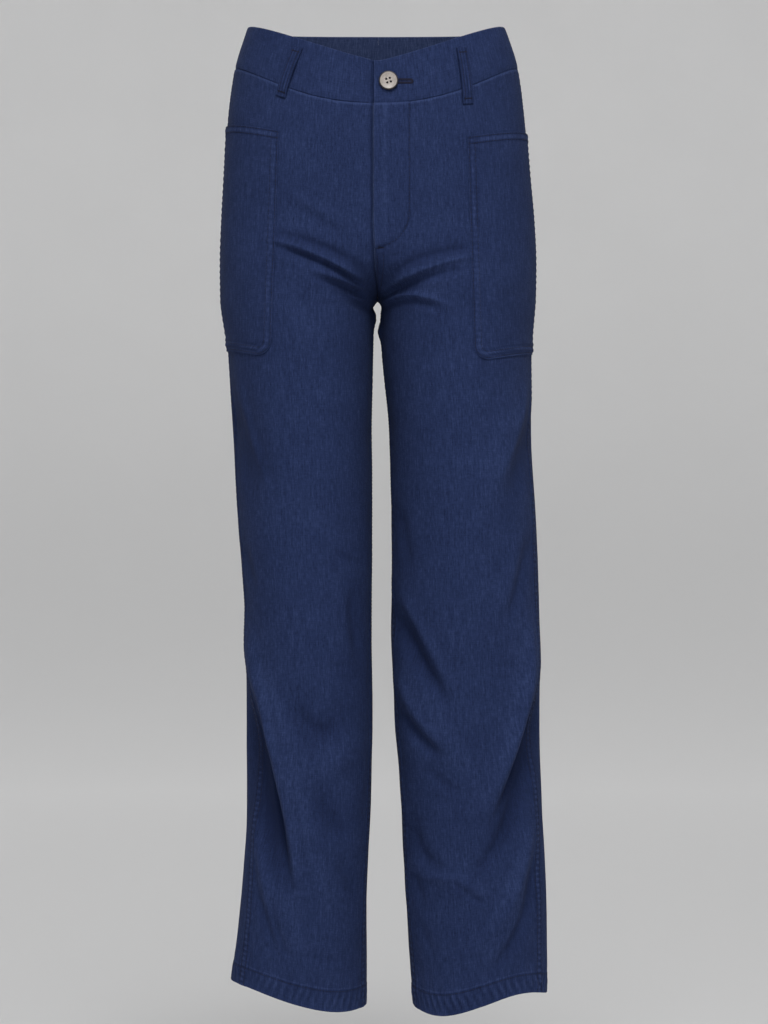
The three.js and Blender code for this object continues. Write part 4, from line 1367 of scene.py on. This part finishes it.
pockets = [make_pocket(row) for row in POCKETS]


def pocket_sewing():
    """Two rows round each pocket and along its top."""
    sewing = Sewing("stitching_pockets")
    for made in pockets:
        pocket, sign = made.pocket, made.pocket.side.sign
        tree = tree_of(made.outer)
        for inset in POCKET_ROWS:
            x0, x1 = sign * pocket.top_x + inset, sign * pocket.bottom_x + inset
            corner = POCKET_CORNER - inset
            centre_x, centre_z = x1 + corner, pocket.bottom_inner + POCKET_CORNER
            turn = np.linspace(0, np.pi / 2, 12)
            across = np.linspace(centre_x, POCKET_REACH, 90)[1:]
            bottom = pocket.bottom_inner + inset + sign * pocket.bottom_slope * (across - centre_x)
            xs = np.concatenate([np.linspace(x0, x1, 120)[:-1], centre_x - corner * np.cos(turn), across])
            down = np.linspace(pocket.top_inner - 1.5, centre_z, 120)[:-1]
            zs = np.concatenate([down, centre_z - corner * np.sin(turn), bottom])
            sewing.row(*drop(tree, sign * xs, zs))
            across = np.linspace(sign * pocket.top_x + 1.5, POCKET_REACH, 90)
            top = pocket.top_inner - inset + sign * pocket.top_slope * (across - sign * pocket.top_x)
            sewing.row(*drop(tree, sign * across, top))
    sewing.finish()


# Belt loops

# How far from a loop's middle its columns lie, and its rows as shares of its length
HALF_LOOP = np.array([0.7, 1.8, 2.9, 3.4, 3.9, 4.4, 5.2, 5.8, 6])
LOOP_ACROSS = np.concatenate([-HALF_LOOP[::-1], [0], HALF_LOOP])
LOOP_DOWN = np.concatenate([[0, 0.006, 0.016], np.linspace(0.03, 0.97, 46), [0.984, 0.994, 1]])
# The share of a loop's length sewn down at each end, and how far from the end its bar tack lies
LOOP_SEWN = 0.06
LOOP_TACK = 5.2
LOOP_PITCH = 3.2


def loop_relief(u, v, length):
    """A loop's thickness: doubled ends, two sewn rows, a line between its folded edges and rounded rims."""
    ends = np.minimum(v, length - v)
    rows = sum(bell(u - row, 0.7) for row in LOOP_ROWS)
    relief = LOOP_CLOTH + 0.5 * smooth(8, 6.4, ends) - 0.24 * rows - 0.22 * bell(u, 0.8)
    relief = relief - 0.3 * bell(ends - 5.5, 0.9) + 0.12 * pucker(v, 5.5, 101) * bell(np.abs(u) - 1.7, 1.2)
    return relief + turned_edge(LOOP_WIDTH / 2 - np.abs(u), 1.2, 0.85) + turned_edge(ends, 1.3, 0.9)


def loop_wear_and_shade(u):
    """Light between a loop's rows of stitches as fading; painted shade along the rows, with unfaded cloth,
    in the groove down its middle and at its turned edges; and a little darker all over.
    """
    rows = sum(bell(u - row, 0.7) for row in LOOP_ROWS)
    edges = bell(LOOP_WIDTH / 2 - np.abs(u), 0.7)
    # Painted shade along the rows, in the middle groove and at the turned edges; light between the rows as
    # fading; a little darker all over
    worn_and_shaded = 0.3 * bell(np.abs(u) - 1.8, 0.8) - 0.5 * rows - 0.6 * bell(u, 0.7) - 0.5 * edges - 0.1
    return np.clip(worn_and_shaded, -1, 1)


def make_loop(sewing, name, side, face, top_x, top_z, bottom_x, bottom_z):
    """A strip that lies on the cloth at both ends and stands off it between them."""
    t = LOOP_DOWN
    point, normal = surface_at(side, face, top_x + (bottom_x - top_x) * t, top_z + (bottom_z - top_z) * t)
    seat = BAND_PROUD * (1 - smooth(0.8, 0.95, t)) + LOOP_SEAT
    bow = LOOP_BOW * np.sin(np.pi * np.clip((t - LOOP_SEWN) / (1 - 2 * LOOP_SEWN), 0, 1)) ** 0.6
    down = np.broadcast_to([bottom_x - top_x, 0, bottom_z - top_z], point.shape)
    across = np.cross(normal, down)
    across /= np.linalg.norm(across, axis=1, keepdims=True)
    centre = point + normal * (seat + bow)[:, None]
    under = centre[:, None, :] + across[:, None, :] * LOOP_ACROSS[None, :, None]
    length = np.hypot(bottom_x - top_x, bottom_z - top_z)
    v = np.broadcast_to((t * length)[:, None], under.shape[:2])
    u = np.broadcast_to(LOOP_ACROSS[None, :], v.shape)
    normals = np.broadcast_to(normal[:, None, :], under.shape)
    outer = under + normals * loop_relief(u, v, length)[..., None]
    cloth_piece(name, outer, under + 0.0, u + MAP_START["loop"], -v, loop_wear_and_shade(u))
    inside = (t > 0.05) & (t < 0.95)
    for row in LOOP_ROWS:
        sewing.row(*line_down(outer[inside], normals[inside], u[inside], row), LOOP_PITCH)
    for place in (LOOP_TACK, length - LOOP_TACK):
        row = int(np.argmin(np.abs(v[:, 0] - place)))
        sewing.bar(outer[row, 3], outer[row, -4], normal[row], width=1.8)


pocket_sewing()
loop_sewing = Sewing("stitching_loops")
for row in LOOPS:
    make_loop(loop_sewing, *row)
loop_sewing.finish()


# Button

HOLE_RADIUS = 1.15
HOLE_SPREAD = 2.75
HOLE_ANGLES = [math.radians(-28) + i * math.pi / 2 for i in range(4)]
BUTTON_SIDES = 96
# The profile from the back's middle out over the rim to the front's middle: radius, height and how dark
BUTTON_PROFILE = (
    (0, 0, 1), (7.6, 0, 1), (9.0, 0.3, 1), (9.8, 0.85, 1), (10.2, 1.6, 1), (10.15, 2.3, 1), (9.8, 2.85, 1),
    (9.35, 3.1, 1), (8.95, 3.15, 0.85), (8.5, 3.05, 0), (7.6, 2.8, 0), (6.8, 2.5, 0), (5.8, 2.3, 0),
    (4.6, 2.22, 0), (0, 2.2, 0),
)


def turned_button():
    """The button's round body about +Z, whose dark places are marked as its rim."""
    angles = 2 * np.pi * np.arange(BUTTON_SIDES) / BUTTON_SIDES
    vertices, rim = [], []
    for radius, height, dark in BUTTON_PROFILE[1:-1]:
        vertices += [(radius * math.cos(angle), radius * math.sin(angle), height) for angle in angles]
        rim += [dark] * BUTTON_SIDES
    rings = len(BUTTON_PROFILE) - 2
    index = np.arange(rings * BUTTON_SIDES).reshape(rings, BUTTON_SIDES)
    following = np.roll(index, -1, axis=1)
    faces = np.stack([index[:-1], following[:-1], following[1:], index[1:]], axis=-1)
    faces = faces.reshape(-1, 4).tolist()
    vertices += [(0, 0, BUTTON_PROFILE[0][1]), (0, 0, BUTTON_PROFILE[-1][1])]
    rim += [1, 0]
    back, front = len(vertices) - 2, len(vertices) - 1
    faces += [[back, int(following[0, i]), int(index[0, i])] for i in range(BUTTON_SIDES)]
    faces += [[front, int(index[-1, i]), int(following[-1, i])] for i in range(BUTTON_SIDES)]
    piece = new_piece("button_fine", np.array(vertices), faces, [resin], sharp=40)
    attribute = piece.data.attributes.new("rim", "FLOAT", "POINT")
    attribute.data.foreach_set("value", np.array(rim, dtype=np.float32))
    return piece


def hole_cutter(angle):
    place = (HOLE_SPREAD * math.cos(angle) * MM, HOLE_SPREAD * math.sin(angle) * MM, 0)
    bpy.ops.mesh.primitive_cylinder_add(vertices=24, radius=HOLE_RADIUS * MM, depth=12 * MM, location=place)
    return bpy.context.object


def make_button():
    x, z = (np.array([float(value)]) for value in BUTTON_AT)
    place, normal = surface_at(LEFT, FRONT, x, z)
    turn = Vector((0, 0, 1)).rotation_difference(Vector(normal[0])).to_matrix().to_4x4()
    turn.translation = (Vector(place[0]) + Vector(normal[0]) * (BAND_PROUD + BUTTON_SEAT + 0.5)) * MM
    piece = turned_button()
    carve(piece, [hole_cutter(angle) for angle in HOLE_ANGLES])
    piece.data.transform(turn)
    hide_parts("button")
    sew_button(turn)


def sew_button(turn):
    """Dark thread that fills the four holes and winds into a shank behind the button."""
    sewing = Sewing("stitching_button")
    centres, directions, normals = [], [], []
    for angle in HOLE_ANGLES:
        for k in range(3):
            around = 2 * math.pi * k / 3
            centres.append((HOLE_SPREAD * math.cos(angle) + 0.42 * math.cos(around),
                            HOLE_SPREAD * math.sin(angle) + 0.42 * math.sin(around), -0.35))
            directions.append((0, 0, 1))
            normals.append((math.cos(around), math.sin(around), 0))
    directions = np.array(directions, dtype=float)
    sewing.add(*stitch_mesh(np.array(centres), directions, np.array(normals), 4.2, 0.42))
    around = 2 * np.pi * np.arange(10) / 10
    wound = np.stack([1.1 * np.cos(around), 1.1 * np.sin(around), 0 * around - 1.4], axis=1)
    out = wound * (1, 1, 0)
    out /= np.linalg.norm(out, axis=1, keepdims=True)
    sewing.add(*stitch_mesh(wound, np.broadcast_to([0.0, 0.0, 1.0], wound.shape), out, 3.0, 0.4))
    piece = sewing.finish()
    piece.data.transform(turn)


make_button()


# Studio

FLOOR_Z = -1.22
STAGE_RADIUS = 7.5
STAGE_TOP = 3.2
BEND = 2.4
BEND_STEPS = 24
STAGE_SIDES = 96


def stage_material():
    """Pale paper, a little darker on the floor, which the lamps reach from both sides."""
    n = Nodes("studio_paper")
    grain = n.noise(n.place(), 3.0, 2, 0.5)
    normal = n.node("ShaderNodeNewGeometry").outputs["Normal"]
    up = n.node("ShaderNodeSeparateXYZ", {"Vector": normal}).outputs["Z"]
    flat = n.math("POWER", n.math("ABSOLUTE", up), 1.5)
    wall = n.ramp(grain, ((0.3, (0.87, 0.87, 0.87)), (0.7, (0.89, 0.89, 0.89))))
    n.link(n.mix(flat, wall, (0.67, 0.67, 0.67, 1)), "Base Color")
    n.set(Roughness=0.9)
    return n.material


def make_stage():
    """A round pale floor that curves up into a backdrop on every side, and lets the lamps' light in."""
    profile = [(STAGE_RADIUS - BEND, FLOOR_Z)]
    for i in range(1, BEND_STEPS + 1):
        turn = math.pi / 2 * i / BEND_STEPS
        radius = STAGE_RADIUS - BEND + BEND * math.sin(turn)
        profile.append((radius, FLOOR_Z + BEND - BEND * math.cos(turn)))
    profile.append((STAGE_RADIUS, STAGE_TOP))
    angles = [2 * math.pi * k / STAGE_SIDES for k in range(STAGE_SIDES)]
    vertices = [(r * math.cos(a), r * math.sin(a), z) for r, z in profile for a in angles]
    index = np.arange(len(vertices)).reshape(len(profile), STAGE_SIDES)
    following = np.roll(index, -1, axis=1)
    faces = np.stack([index[:-1], index[1:], following[1:], following[:-1]], axis=-1)
    mesh = bpy.data.meshes.new("studio")
    mesh.from_pydata(vertices, [], faces.reshape(-1, 4).tolist() + [index[0].tolist()])
    mesh.shade_smooth()
    mesh.materials.append(stage_material())
    studio = add_object("studio", mesh)
    studio.visible_shadow = False


def hang_lamp(light, place, target):
    """Puts a lamp at a place and aims it at a target."""
    lamp = add_object(light.name, light)
    lamp.location = place
    lamp.rotation_euler = (Vector(target) - Vector(place)).to_track_quat("-Z", "Y").to_euler()


def sun(name, place, angle, strength):
    """A soft lamp that shines evenly from the direction of a place towards the origin."""
    light = bpy.data.lights.new(name, "SUN")
    light.angle = math.radians(angle)
    light.energy = strength
    hang_lamp(light, place, (0, 0, 0))


def panel_light(name, place, target, size, power):
    """A soft square lamp near the waist, so that the legs darken gently towards the hems."""
    light = bpy.data.lights.new(name, "AREA")
    light.shape = "SQUARE"
    light.size = size
    light.energy = power
    hang_lamp(light, place, target)


def make_lights():
    sun("key", (0.15, -2.7, 3.1), 20, 0.84)
    panel_light("upper", (0.15, -2.1, 1.6), (0, 0, -0.2), 1.1, 37)
    sun("fill", (-0.2, -3.4, 0.6), 50, 0.22)
    sun("back", (-0.4, 2.9, 2.3), 30, 1.3)
    world = bpy.data.worlds.new("studio_air")
    world.use_nodes = True
    world.node_tree.nodes["Background"].inputs["Color"].default_value = (0.8, 0.8, 0.82, 1)
    world.node_tree.nodes["Background"].inputs["Strength"].default_value = 0.12
    bpy.context.scene.world = world


def make_camera():
    data = bpy.data.cameras.new("camera")
    data.lens = CAMERA_LENS
    data.sensor_width = CAMERA_SENSOR
    camera = add_object("camera", data)
    camera.location = CAMERA_PLACE
    camera.rotation_euler = (math.pi / 2, 0, 0)
    bpy.context.scene.camera = camera


make_stage()
make_lights()
make_camera()
bpy.context.scene.view_settings.view_transform = "Standard"

bpy.context.view_layer.update()
